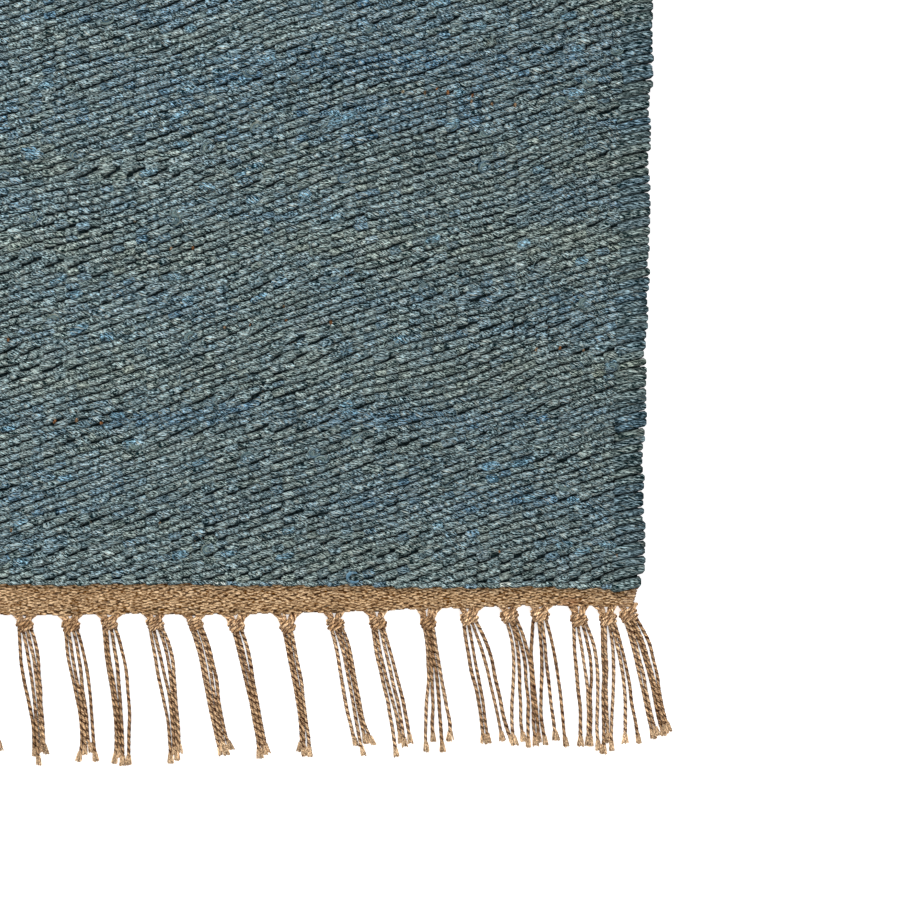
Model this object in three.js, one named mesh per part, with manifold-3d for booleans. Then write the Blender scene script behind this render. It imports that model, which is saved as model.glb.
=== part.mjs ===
// A hand-woven jute rug, lying flat: a thick weft-faced field in dyed yarn, a thin undyed heading across
// each end, and the warp ends knotted into a fringe beyond each heading.
// Millimetres, +Z up. X runs across the rug, Y along it, and the origin is at the middle of the underside.
import * as THREE from "three";
import Module from "manifold-3d";
import { mergeVertices } from "three/addons/utils/BufferGeometryUtils.js";

const wasm = await Module();
wasm.setup();

// Driving dimensions
const FIELD_HALF_LENGTH = 435;
const FIELD_THICKNESS = 7;
const HEADING_THICKNESS = 4;
const HEADING_HALF_WIDTH = 293.5;
const PIECE_GAP = 0.3;
const FIELD_STEPS = 36;
const HEADING_STEPS = 30;
const EDGE_SEGMENTS = 6;
const MERGE_TOLERANCE = 1e-4;

// Fringe dimensions
const SPINE_WIDTH = 2.2;
const SPINE_HEIGHT = 2.6;
const SPINE_HALF_LENGTH = 292;
const YARN_ROOM = 1.1;

// Half width of the field at its right selvedge, from the front end to the back end.
// The left selvedge is the same edge turned half a turn, so its ends are swapped.
const SELVEDGE = [
  { along: -435, half: 296.4 },
  { along: -409, half: 297.4 },
  { along: -376, half: 296.2 },
  { along: -332, half: 298.4 },
  { along: -310, half: 297.8 },
  { along: -255, half: 300.0 },
  { along: -222, half: 301.1 },
  { along: -184, half: 300.1 },
  { along: -123, half: 302.8 },
  { along: -50, half: 302.2 },
  { along: 20, half: 303.0 },
  { along: 95, half: 301.8 },
  { along: 170, half: 302.4 },
  { along: 245, half: 300.6 },
  { along: 320, half: 299.4 },
  { along: 385, half: 297.6 },
  { along: 435, half: 297.2 },
];

// Depth of the heading from the field's end to its own outer edge, from the left to the right.
const HEADING = [
  { across: -293.5, depth: 13.4 },
  { across: -250, depth: 14.6 },
  { across: -190, depth: 15.8 },
  { across: -120, depth: 15.2 },
  { across: -54, depth: 15.7 },
  { across: -26, depth: 16.0 },
  { across: 15, depth: 15.1 },
  { across: 54, depth: 15.7 },
  { across: 98, depth: 15.1 },
  { across: 131, depth: 14.0 },
  { across: 158, depth: 13.2 },
  { across: 186, depth: 12.1 },
  { across: 208, depth: 11.6 },
  { across: 230, depth: 10.7 },
  { across: 293.5, depth: 10.6 },
];

// Tassels of the front fringe: where the knot lies across the rug, how far its middle is from the heading,
// how far the tips stray sideways, how far the tail bows out on the way, how far the longest tip reaches from
// the heading, and half the tips' spread.
const TASSELS = [
  { at: -285.5, drop: 4.1, lean: -9.5, bow: -1.4, reach: 73.5, spread: 5.2 },
  { at: -264.0, drop: 4.8, lean: -4.0, bow: 0.6, reach: 76.0, spread: 6.1 },
  { at: -243.0, drop: 3.9, lean: 3.5, bow: 1.2, reach: 77.5, spread: 4.2 },
  { at: -221.0, drop: 5.2, lean: 6.0, bow: 1.8, reach: 75.0, spread: 3.4 },
  { at: -199.5, drop: 4.4, lean: 2.5, bow: 0.8, reach: 78.0, spread: 5.6 },
  { at: -177.5, drop: 3.8, lean: 9.0, bow: 2.2, reach: 76.5, spread: 3.0 },
  { at: -155.0, drop: 5.0, lean: 12.0, bow: 1.6, reach: 74.5, spread: 4.4 },
  { at: -133.5, drop: 4.2, lean: 7.5, bow: 2.0, reach: 79.0, spread: 2.8 },
  { at: -111.0, drop: 4.6, lean: 10.5, bow: 1.2, reach: 77.0, spread: 5.0 },
  { at: -88.0, drop: 3.9, lean: 13.0, bow: 0.7, reach: 75.5, spread: 3.6 },
  { at: -65.5, drop: 5.3, lean: 9.0, bow: 1.9, reach: 78.5, spread: 4.0 },
  { at: -42.7, drop: 3.9, lean: 8.4, bow: 2.4, reach: 80.7, spread: 3.3 },
  { at: -17.4, drop: 4.2, lean: 9.3, bow: 1.6, reach: 79.1, spread: 4.6 },
  { at: 3.6, drop: 3.8, lean: 6.6, bow: 1.8, reach: 80.6, spread: 4.4 },
  { at: 28.9, drop: 3.9, lean: 10.7, bow: 2.4, reach: 80.5, spread: 2.6 },
  { at: 50.9, drop: 3.7, lean: 16.9, bow: 0.4, reach: 75.3, spread: 2.5 },
  { at: 73.4, drop: 4.7, lean: 15.6, bow: 1.6, reach: 78.0, spread: 2.5 },
  { at: 101.5, drop: 5.7, lean: 9.4, bow: 2.2, reach: 77.6, spread: 2.9 },
  { at: 127.9, drop: 5.1, lean: 16.3, bow: 1.1, reach: 77.9, spread: 4.7 },
  { at: 151.2, drop: 5.4, lean: 14.1, bow: 0.7, reach: 80.2, spread: 4.1 },
  { at: 178.8, drop: 6.3, lean: 6.0, bow: 0.2, reach: 77.8, spread: 6.7 },
  { at: 201.3, drop: 4.3, lean: 16.8, bow: -0.8, reach: 74.1, spread: 7.4 },
  { at: 223.4, drop: 3.7, lean: 9.5, bow: 0.9, reach: 75.9, spread: 6.5 },
  { at: 240.1, drop: 3.7, lean: 9.2, bow: 0.3, reach: 76.5, spread: 5.5 },
  { at: 261.7, drop: 6.4, lean: 5.8, bow: 0.8, reach: 78.7, spread: 4.8 },
  { at: 277.5, drop: 5.8, lean: 6.9, bow: 1.2, reach: 81.4, spread: 9.6 },
  { at: 288.8, drop: 3.8, lean: 18.3, bow: 1.4, reach: 73.3, spread: 4.1 },
];

// Stations down a tassel. Beside the knot they are placed from its middle, and along the tail by a share of
// its length. The half width grows from the knot's own to the tassel's spread.
const KNOT_STATIONS = [
  { fromKnot: -2.9, half: 4.3, height: 3.4 },
  { fromKnot: -1.2, half: 4.9, height: 5.6 },
  { fromKnot: 2.2, half: 5.0, height: 5.6 },
  { fromKnot: 4.4, half: 3.9, height: 3.6 },
];
const TAIL_STATIONS = [
  { share: 0.4, spreading: 0.25, height: 2.8 },
  { share: 0.75, spreading: 0.7, height: 2.5 },
  { share: 1, spreading: 1, height: 2.2 },
];
const ROOT_HALF = 7.6;
const ROOT_HEIGHT = 2.4;
const TAIL_TOP_HALF = 3.4;

// The least distance between two stations of a tassel.
const STATION_APART = 0.4;

// A tassel's section, as shares of its half width and height: flat below, rounded above.
const TASSEL_SECTION = [
  { across: 0.86, up: 0 },
  { across: 1, up: 0.35 },
  { across: 0.62, up: 0.86 },
  { across: 0, up: 1 },
  { across: -0.62, up: 0.86 },
  { across: -1, up: 0.35 },
  { across: -0.86, up: 0 },
];

// The value of a column at a place between two rows of a table, eased so that the edge has no corners.
function read(table, key, column, place) {
  const next = Math.max(1, Math.min(table.length - 1, table.findIndex((row) => row[key] >= place)));
  const [a, b] = [table[next - 1], table[next]];
  const share = THREE.MathUtils.smoothstep(place, a[key], b[key]);
  return THREE.MathUtils.lerp(a[column], b[column], share);
}

// A closed body through sections that have equally many points, each a convex loop.
function loft(sections) {
  const count = sections[0].length;
  const points = sections.flat().flatMap((p) => [p.x, p.y, p.z]);
  const faces = [];
  for (let s = 0; s < sections.length - 1; s++) {
    for (let i = 0; i < count; i++) {
      const j = (i + 1) % count;
      const [a, b, c, d] = [s * count + i, s * count + j, (s + 1) * count + j, (s + 1) * count + i];
      faces.push(a, b, c, a, c, d);
    }
  }
  const last = (sections.length - 1) * count;
  for (let i = 1; i < count - 1; i++) {
    faces.push(0, i + 1, i);
    faces.push(last, last + i, last + i + 1);
  }
  const geometry = new THREE.BufferGeometry();
  geometry.setAttribute("position", new THREE.Float32BufferAttribute(points, 3));
  geometry.setIndex(faces);
  return geometry;
}

// A geometry as a solid that can be joined.
function solidFrom(geometry) {
  const merged = mergeVertices(geometry, MERGE_TOLERANCE);
  return new wasm.Manifold(
    new wasm.Mesh({
      numProp: 3,
      vertProperties: merged.attributes.position.array,
      triVerts: new Uint32Array(merged.index.array),
    }),
  );
}

// A joined solid as a geometry again.
function geometryFrom(solid) {
  const mesh = solid.getMesh();
  const geometry = new THREE.BufferGeometry();
  geometry.setAttribute("position", new THREE.BufferAttribute(new Float32Array(mesh.vertProperties), 3));
  geometry.setIndex(new THREE.BufferAttribute(mesh.triVerts, 1));
  return geometry;
}

// The field: a flat slab whose long edges are rounded, as the weft turns round the last warp there.
function fieldGeometry() {
  const radius = FIELD_THICKNESS / 2;
  const sections = [];
  for (let s = 0; s <= FIELD_STEPS; s++) {
    const y = THREE.MathUtils.lerp(-FIELD_HALF_LENGTH, FIELD_HALF_LENGTH, s / FIELD_STEPS);
    const right = read(SELVEDGE, "along", "half", y) - radius;
    const left = -read(SELVEDGE, "along", "half", -y) + radius;
    const loop = [];
    for (let i = 0; i <= EDGE_SEGMENTS; i++) {
      const turn = (Math.PI * i) / EDGE_SEGMENTS;
      loop.push(new THREE.Vector3(right + radius * Math.sin(turn), y, radius + radius * Math.cos(turn)));
    }
    for (let i = 0; i <= EDGE_SEGMENTS; i++) {
      const turn = (Math.PI * i) / EDGE_SEGMENTS;
      loop.push(new THREE.Vector3(left - radius * Math.sin(turn), y, radius - radius * Math.cos(turn)));
    }
    sections.push(loop);
  }
  return loft(sections);
}

// Where the heading ends, as a distance along Y, at a place across the rug.
function headingEdge(x) {
  return -FIELD_HALF_LENGTH - read(HEADING, "across", "depth", x);
}

// The front heading: a thin strip that follows the field's end and has its own uneven outer edge.
function headingGeometry() {
  const inner = -FIELD_HALF_LENGTH - PIECE_GAP;
  const rounding = HEADING_THICKNESS / 4;
  const sections = [];
  for (let s = 0; s <= HEADING_STEPS; s++) {
    const x = THREE.MathUtils.lerp(-HEADING_HALF_WIDTH, HEADING_HALF_WIDTH, s / HEADING_STEPS);
    const outer = headingEdge(x);
    sections.push([
      new THREE.Vector3(x, inner, 0),
      new THREE.Vector3(x, inner, HEADING_THICKNESS),
      new THREE.Vector3(x, outer + rounding, HEADING_THICKNESS),
      new THREE.Vector3(x, outer, HEADING_THICKNESS - rounding),
      new THREE.Vector3(x, outer, 0),
    ]);
  }
  return loft(sections);
}

// The bar of bare warp ends that leaves the heading and joins the tassels of one fringe.
function spineGeometry() {
  const sections = [];
  for (let s = 0; s <= HEADING_STEPS; s++) {
    const step = THREE.MathUtils.lerp(-HEADING_HALF_WIDTH, HEADING_HALF_WIDTH, s / HEADING_STEPS);
    const x = THREE.MathUtils.clamp(step, -SPINE_HALF_LENGTH, SPINE_HALF_LENGTH);
    const inner = headingEdge(x) - PIECE_GAP;
    sections.push([
      new THREE.Vector3(x, inner, 0),
      new THREE.Vector3(x, inner, SPINE_HEIGHT),
      new THREE.Vector3(x, inner - SPINE_WIDTH, SPINE_HEIGHT),
      new THREE.Vector3(x, inner - SPINE_WIDTH, 0),
    ]);
  }
  return loft(sections);
}

// One tassel: the warps that gather from the spine, the knot, and the loose tail that leans aside.
function tasselGeometry({ at, drop, lean, bow, reach, spread }) {
  const edge = headingEdge(at) - PIECE_GAP;
  const knot = edge - drop;
  const tailTop = knot - KNOT_STATIONS.at(-1).fromKnot;
  const tip = edge - reach;
  const rootLimit = SPINE_HALF_LENGTH - ROOT_HALF;
  const root = THREE.MathUtils.clamp(at, -rootLimit, rootLimit);
  const stations = [{ x: root, y: edge - SPINE_WIDTH / 2, half: ROOT_HALF, height: ROOT_HEIGHT }];
  for (const row of KNOT_STATIONS) {
    const y = Math.min(knot - row.fromKnot, stations.at(-1).y - STATION_APART);
    stations.push({ x: at, y, half: row.half, height: row.height });
  }
  for (const row of TAIL_STATIONS) {
    stations.push({
      x: at + lean * row.share + bow * 4 * row.share * (1 - row.share),
      y: THREE.MathUtils.lerp(tailTop, tip, row.share),
      half: THREE.MathUtils.lerp(TAIL_TOP_HALF, spread + YARN_ROOM, row.spreading),
      height: row.height,
    });
  }
  return loft(
    stations.map(({ x, y, half, height }) =>
      TASSEL_SECTION.map(({ across, up }) => new THREE.Vector3(x + across * half, y, up * height)),
    ),
  );
}

// The front fringe: the spine and its tassels joined into one comb.
function fringeGeometry() {
  let comb = solidFrom(spineGeometry());
  for (const row of TASSELS) comb = comb.add(solidFrom(tasselGeometry(row)));
  return geometryFrom(comb);
}

// A named mesh, one for each piece of the rug.
function piece(name, geometry, material) {
  const mesh = new THREE.Mesh(geometry, material);
  mesh.name = name;
  return mesh;
}

const dyedJute = new THREE.MeshStandardMaterial({ color: 0x566a6c, roughness: 0.92, metalness: 0 });
const headingJute = new THREE.MeshStandardMaterial({ color: 0x9e7f5f, roughness: 0.95, metalness: 0 });
const fringeJute = new THREE.MeshStandardMaterial({ color: 0x9e866c, roughness: 0.95, metalness: 0 });

// The back end is the front end turned half a turn.
function end(name, turn) {
  const group = new THREE.Group();
  group.rotation.z = turn;
  group.add(piece(`heading_${name}`, headingGeometry(), headingJute));
  group.add(piece(`fringe_${name}`, fringeGeometry(), fringeJute));
  return group;
}

const rug = new THREE.Group();
rug.add(piece("field", fieldGeometry(), dyedJute));
rug.add(end("front", 0));
rug.add(end("back", Math.PI));

export default rug;
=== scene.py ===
"""A hand-woven jute rug lying flat: weft-faced field, plain headings and knotted warp fringes.

Sizes are in millimetres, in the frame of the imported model: X across the rug, Y along it, Z up. A piece's
mesh is written in metres. One end of the rug is worked out as the front end, and turned for the back end.
"""

import logging
import math
from collections.abc import Callable
from dataclasses import dataclass, replace
from enum import Enum
from typing import ClassVar

import bpy
import numpy as np
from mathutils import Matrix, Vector

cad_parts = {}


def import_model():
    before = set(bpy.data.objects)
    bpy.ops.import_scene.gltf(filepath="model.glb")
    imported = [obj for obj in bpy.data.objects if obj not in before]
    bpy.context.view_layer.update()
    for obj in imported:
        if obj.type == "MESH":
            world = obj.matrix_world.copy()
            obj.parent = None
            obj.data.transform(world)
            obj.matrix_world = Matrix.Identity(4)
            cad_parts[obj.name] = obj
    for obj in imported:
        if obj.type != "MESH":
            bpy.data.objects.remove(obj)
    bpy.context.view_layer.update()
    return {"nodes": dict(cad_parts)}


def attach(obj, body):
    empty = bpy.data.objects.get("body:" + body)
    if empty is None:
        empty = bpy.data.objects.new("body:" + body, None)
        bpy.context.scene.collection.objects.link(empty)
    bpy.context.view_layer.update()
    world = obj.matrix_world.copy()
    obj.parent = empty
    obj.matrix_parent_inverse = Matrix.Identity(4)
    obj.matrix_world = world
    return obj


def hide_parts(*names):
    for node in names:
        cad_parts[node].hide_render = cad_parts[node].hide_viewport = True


LOG = logging.getLogger("jute_rug")
MM = 0.001
BODY = "root"
BAKE_MAP = "OFBake"
YARN_MAP = "Yarn"
DYE = "dye"
# The point value by which the finishes darken a yarn's colour as painted shade, where it sinks between
# others.
PAINTED_SHADE = "painted_shade"
GRAIN = "grain"

FIELD_LENGTH = 870.0
HALF_LENGTH = FIELD_LENGTH / 2
FIELD_THICKNESS = 7.0
HEADING_THICKNESS = 4.0
HEADING_HALF_WIDTH = 293.5

Colour = tuple[float, float, float]
Point = tuple[float, float, float]
Range = tuple[float, float]
Spot = tuple[float, float]
UP: Point = (0.0, 0.0, 1.0)
ALONG_RUG: Point = (0.0, 1.0, 0.0)
GRAIN_SPAN = 100.0
TINY = 1e-9


def screen(red: float, green: float, blue: float) -> Colour:
    """Linear light from the red, green and blue of a screen colour, each from 0 to 255."""
    shares = (channel / 255.0 for channel in (red, green, blue))
    return tuple(s / 12.92 if s <= 0.04045 else ((s + 0.055) / 1.055) ** 2.4 for s in shares)


def lots(*colours: Colour) -> np.ndarray:
    """Linear light from several screen colours, a row for each."""
    return np.array([screen(*colour) for colour in colours])


def ease(share: np.ndarray) -> np.ndarray:
    """A smooth step from 0 to 1."""
    kept = np.clip(share, 0.0, 1.0)
    return kept * kept * (3.0 - 2.0 * kept)


def heading_rise(x: np.ndarray) -> np.ndarray:
    """How far the front heading reaches into the field, across the rug."""
    wave = 0.35 * np.sin(x / 17.0) + 0.25 * np.sin(x / 7.3 + 1.0)
    return np.interp(x, [-294.0, 60.0, 170.0, 294.0], [1.6, 1.4, 0.0, -0.9]) + wave


class Slot(Enum):
    """The record's material slots."""

    DYED = "dyed_jute"
    HEADING = "heading_jute"
    FRINGE = "fringe_jute"


class HalfTurn(Enum):
    """Two places on the rug, a half turn apart. The value is the sign that carries the first one there."""

    def place(self, points: np.ndarray) -> np.ndarray:
        """Points of the first place, turned about Z to this one."""
        return points * np.array([self.value, self.value, 1.0])


class End(HalfTurn):
    """The two ends of the rug."""

    FRONT = 1.0
    BACK = -1.0

    @property
    def label(self) -> str:
        """The word that the end's nodes and pieces carry in their names."""
        return self.name.lower()


class Side(HalfTurn):
    """The two long edges."""

    RIGHT = 1.0
    LEFT = -1.0


class Face(Enum):
    """The two faces of the cloth. The value is the direction in which its yarns bulge."""

    UPPER = 1.0
    UNDER = -1.0

    def place(self, points: np.ndarray, thickness: float) -> np.ndarray:
        """Points of an upper face, turned about Y to this face of a cloth of some thickness."""
        if self is Face.UPPER:
            return points
        return points * np.array([-1.0, 1.0, -1.0]) + np.array([0.0, 0.0, thickness])


@dataclass(frozen=True)
class Drift:
    """A smooth random surface over the rug, with values of about -1 to 1.

    grid has its random values, which lie cell[0] apart across the rug and cell[1] apart along it.
    """

    COVERED: ClassVar[Range] = (640.0, 1100.0)
    LAST: ClassVar[float] = 1.001

    grid: np.ndarray
    cell: Range

    @classmethod
    def make(cls, rng: np.random.Generator, cell: Range) -> "Drift":
        """Draws a surface whose random values lie a cell apart."""
        count = [int(math.ceil(reach / step)) + 4 for reach, step in zip(cls.COVERED, cell)]
        return cls(rng.uniform(-1.0, 1.0, count), cell)

    def at(self, x: np.ndarray, y: np.ndarray) -> np.ndarray:
        """Reads the surface.

        Args:
            x: each place's distance across the rug.
            y: each place's distance along it.

        Returns:
            The surface's value at each place.
        """
        rows, lines = self.grid.shape
        i = np.clip(x / self.cell[0] + rows / 2, 0, rows - self.LAST)
        j = np.clip(y / self.cell[1] + lines / 2, 0, lines - self.LAST)
        low_i, low_j = i.astype(int), j.astype(int)
        a, b = ease(i - low_i), ease(j - low_j)
        near = self.grid[low_i, low_j] * (1 - a) + self.grid[low_i + 1, low_j] * a
        far = self.grid[low_i, low_j + 1] * (1 - a) + self.grid[low_i + 1, low_j + 1] * a
        return near * (1 - b) + far * b


def along_yarns(rng: np.random.Generator, yarns: int, places: int, cell: float) -> np.ndarray:
    """Smooth random values along each of many yarns.

    Args:
        rng: the source of its random numbers.
        yarns: how many yarns there are, each with values of its own.
        places: how many values each yarn has.
        cell: how many places apart the random values lie.

    Returns:
        An array of yarns by places, with values of about -1 to 1.
    """
    count = int(math.ceil(places / cell)) + 3
    knots = rng.uniform(-1.0, 1.0, (yarns, count))
    place = np.arange(places)[None, :] / cell + rng.uniform(0.0, 1.0, (yarns, 1))
    low = place.astype(int)
    share = ease(place - low)
    row = np.arange(yarns)[:, None]
    return knots[row, low] * (1 - share) + knots[row, low + 1] * share


@dataclass(frozen=True)
class Template:
    """The faces that every yarn of one kind shares: rings of points, open or closed round the yarn."""

    rings: int
    sides: int
    closed: bool = False

    @property
    def stride(self) -> int:
        """How many points one yarn has, with one more at each end."""
        return self.rings * self.sides + 2

    @property
    def steps(self) -> int:
        """How many faces lie side by side round one ring."""
        return self.sides if self.closed else self.sides - 1

    def body_faces(self) -> tuple[np.ndarray, np.ndarray]:
        """The quads between the rings.

        Returns:
            The points of each quad, and how far round the yarn each corner lies, from 0 to 1.
        """
        ring, side = np.meshgrid(np.arange(self.rings - 1), np.arange(self.steps), indexing="ij")
        after = (side + 1) % self.sides
        low, high = ring * self.sides, (ring + 1) * self.sides
        points = np.stack([low + side, high + side, high + after, low + after], -1)
        shares = np.stack([side, side, side + 1, side + 1], -1) / self.steps
        return points.reshape(-1, 4), shares.reshape(-1, 4)

    def end_faces(self) -> tuple[np.ndarray, np.ndarray]:
        """The triangles that close the two ends.

        Returns:
            The points of each triangle, and how far round the yarn each corner lies, from 0 to 1.
        """
        side = np.arange(self.steps)
        after = (side + 1) % self.sides
        first = np.full(self.steps, self.rings * self.sides)
        last = first + 1
        end = (self.rings - 1) * self.sides
        start = np.stack([first, side, after], -1)
        stop = np.stack([last, end + after, end + side], -1)
        at_start = np.stack([side + 0.5, side, side + 1], -1)
        at_stop = np.stack([side + 0.5, side + 1, side], -1)
        return np.concatenate([start, stop]), np.concatenate([at_start, at_stop]) / self.steps


@dataclass
class Yarns:
    """Many yarns of one kind, as arrays with a row for each yarn.

    places has the points, along the distance of each from the yarn's start, girth the distance round it,
    and, for the painted shade, how deep each point lies between its neighbours, from 0 to 1, by which the
    finish darkens the colour. dye is the yarn's colour, and grain a number that keeps its fibres unlike
    those of the next yarn.
    """

    template: Template
    places: np.ndarray
    along: np.ndarray
    girth: np.ndarray
    painted_shade: np.ndarray
    dye: np.ndarray
    grain: np.ndarray

    @classmethod
    def drawn(
        cls,
        rng: np.random.Generator,
        template: Template,
        shape: tuple[np.ndarray, np.ndarray],
        girth: np.ndarray | float,
        painted_shade: np.ndarray | float,
        dye: np.ndarray,
    ) -> "Yarns":
        """Yarns with a grain drawn for each.

        Args:
            rng: the source of their grain.
            template: their rings and sides.
            shape: their points, and each point's distance along its yarn.
            girth: the distance round each, or round all of them.
            painted_shade: how deep each point lies, or a yarn's points, or all.
            dye: each yarn's colour.

        Returns:
            The yarns.
        """
        places, along = shape
        round_each = np.full(len(places), girth)
        deep = np.broadcast_to(painted_shade, along.shape)
        return cls(template, places, along, round_each, deep, dye, rng.uniform(0.0, GRAIN_SPAN, len(places)))

    def moved(self, place: Callable[[np.ndarray], np.ndarray]) -> "Yarns":
        """The same yarns with their points carried elsewhere by a function."""
        return replace(self, places=place(self.places))

    def picked(self, chosen: np.ndarray) -> "Yarns":
        """Some of the yarns."""
        rows = (self.places, self.along, self.girth, self.painted_shade, self.dye, self.grain)
        return Yarns(self.template, *(row[chosen] for row in rows))

    @property
    def length(self) -> float:
        """The yarns' mean length."""
        return float(np.mean(self.along.max(1) - self.along.min(1)))


def tubes(
    template: Template,
    spine: np.ndarray,
    across: np.ndarray,
    upright: np.ndarray,
    turn: np.ndarray | float = 0.0,
    ref: Point = UP,
) -> tuple[np.ndarray, np.ndarray]:
    """Wraps closed tubes round spines.

    Args:
        template: the tubes' rings and sides.
        spine: for each tube, its first point, a point for each ring, and its last point.
        across: half the width at each ring.
        upright: half the height at each ring.
        turn: how far each ring is turned about the spine, in radians, or all of them.
        ref: the direction that a ring's height leans to.

    Returns:
        The points of every tube, and each point's distance along its spine.
    """
    way = np.gradient(spine, axis=1)
    way /= np.linalg.norm(way, axis=2, keepdims=True) + TINY
    up = np.array(ref) - (way @ np.array(ref))[..., None] * way
    up /= np.linalg.norm(up, axis=2, keepdims=True) + TINY
    side = np.cross(up, way)
    steps = np.linalg.norm(np.diff(spine, axis=1), axis=2)
    reach = np.concatenate([np.zeros((len(spine), 1)), np.cumsum(steps, axis=1)], axis=1)
    angle = np.arange(template.sides) * 2 * math.pi / template.sides
    flat = np.sin(angle)[None, None, :] * across[..., None]
    high = np.cos(angle)[None, None, :] * upright[..., None]
    spun_flat = flat * np.cos(turn)[..., None] + high * np.sin(turn)[..., None]
    spun_high = high * np.cos(turn)[..., None] - flat * np.sin(turn)[..., None]
    rings = (
        spine[:, 1:-1, None, :]
        + spun_flat[..., None] * side[:, 1:-1, None, :]
        + spun_high[..., None] * up[:, 1:-1, None, :]
    )
    count = len(spine)
    points = np.concatenate([rings.reshape(count, -1, 3), spine[:, :1], spine[:, -1:]], axis=1)
    beside = np.repeat(reach[:, 1:-1], template.sides, axis=1)
    return points, np.concatenate([beside, reach[:, :1], reach[:, -1:]], axis=1)


def bake_cells(groups: list[Yarns]) -> list[tuple[np.ndarray, np.ndarray, float, float]]:
    """Shares a square picture out among yarns, a rectangle for each.

    Args:
        groups: the yarns of one piece.

    Returns:
        For each group, the left and lower edges of its yarns' rectangles, and their width and height.
    """
    areas = [len(g.girth) * g.length * float(np.mean(g.girth)) for g in groups]
    cells = []
    floor = 0.0
    for group, area in zip(groups, areas):
        count = len(group.girth)
        height = area / sum(areas)
        slim = float(np.mean(group.girth)) / group.length
        columns = max(1, int(math.ceil(math.sqrt(count * slim / height))))
        rows = int(math.ceil(count / columns))
        index = np.arange(count)
        left = (index % columns) / columns
        lower = floor + (index // columns) * height / rows
        cells.append((left, lower, 1.0 / columns, height / rows))
        floor += height
    return cells


# How much of a yarn's rectangle stays empty at each side, and how much a yarn's grain slants its coordinates.
CELL_MARGIN = 0.06
SLANT = 0.28
SLANT_RATE = 7.0


def add_values(mesh: bpy.types.Mesh, name: str, kind: str, values: np.ndarray) -> None:
    """Gives each point of a mesh a value or a colour."""
    channel = "color" if kind == "FLOAT_COLOR" else "value"
    mesh.attributes.new(name, kind, "POINT").data.foreach_set(channel, values.astype(np.float32).ravel())


def make_piece(name: str, groups: list[Yarns], finish: bpy.types.Material) -> bpy.types.Object:
    """Makes one piece from its yarns.

    Args:
        name: the piece's name.
        groups: its yarns, a group for each template.
        finish: its material.

    Returns:
        The piece, riding on the rug's body.
    """
    points, corners, sizes, maps, bakes, shades, dyes, grains = [], [], [], [], [], [], [], []
    base = 0
    for group, (left, lower, width, height) in zip(groups, bake_cells(groups)):
        count, stride = group.along.shape
        start = group.along.min(1, keepdims=True)
        share = (group.along - start) / (group.along.max(1, keepdims=True) - start + TINY)
        for faces, turns in (group.template.body_faces(), group.template.end_faces()):
            index = faces.ravel()
            turn = np.broadcast_to(turns.ravel(), (count, index.size))
            round_it = turn * group.girth[:, None]
            slant = SLANT * np.sin(SLANT_RATE * group.grain)[:, None]
            yarn_map = np.stack([group.along[:, index] + slant * round_it, round_it], -1)
            cell_u = left[:, None] + width * (CELL_MARGIN + (1 - 2 * CELL_MARGIN) * share[:, index])
            cell_v = lower[:, None] + height * (CELL_MARGIN + (1 - 2 * CELL_MARGIN) * turn)
            corners.append((index[None, :] + base + np.arange(count)[:, None] * stride).ravel())
            sizes.append(np.full(count * len(faces), faces.shape[1]))
            maps.append(yarn_map.reshape(-1, 2))
            bakes.append(np.stack([cell_u, cell_v], -1).reshape(-1, 2))
        points.append(group.places.reshape(-1, 3))
        shades.append(group.painted_shade.ravel())
        dyes.append(np.repeat(group.dye, stride, axis=0))
        grains.append(np.repeat(group.grain, stride))
        base += count * stride

    mesh = bpy.data.meshes.new(name)
    vertex, corner, size = np.concatenate(points), np.concatenate(corners), np.concatenate(sizes)
    mesh.vertices.add(len(vertex))
    mesh.vertices.foreach_set("co", (vertex * MM).astype(np.float32).ravel())
    mesh.loops.add(len(corner))
    mesh.loops.foreach_set("vertex_index", corner.astype(np.int32))
    mesh.polygons.add(len(size))
    mesh.polygons.foreach_set("loop_start", (np.cumsum(size) - size).astype(np.int32))
    mesh.polygons.foreach_set("use_smooth", np.ones(len(size), bool))
    for label, places in ((YARN_MAP, maps), (BAKE_MAP, bakes)):
        layer = mesh.uv_layers.new(name=label)
        layer.data.foreach_set("uv", np.concatenate(places).astype(np.float32).ravel())
    add_values(mesh, PAINTED_SHADE, "FLOAT", np.concatenate(shades))
    add_values(mesh, GRAIN, "FLOAT", np.concatenate(grains))
    colour = np.concatenate(dyes)
    add_values(mesh, DYE, "FLOAT_COLOR", np.concatenate([colour, np.ones((len(colour), 1))], axis=1))
    mesh.update(calc_edges=True)
    mesh.validate()
    mesh.materials.append(finish)
    piece = bpy.data.objects.new(name, mesh)
    bpy.context.scene.collection.objects.link(piece)
    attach(piece, BODY)
    return piece


def report(pieces: list[bpy.types.Object]) -> None:
    """Logs the name and the triangles of each piece."""
    for piece in pieces:
        LOG.info("%s: %d triangles", piece.name, len(piece.data.loops) - 2 * len(piece.data.polygons))


Setting = bpy.types.NodeSocket | float | tuple


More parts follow.
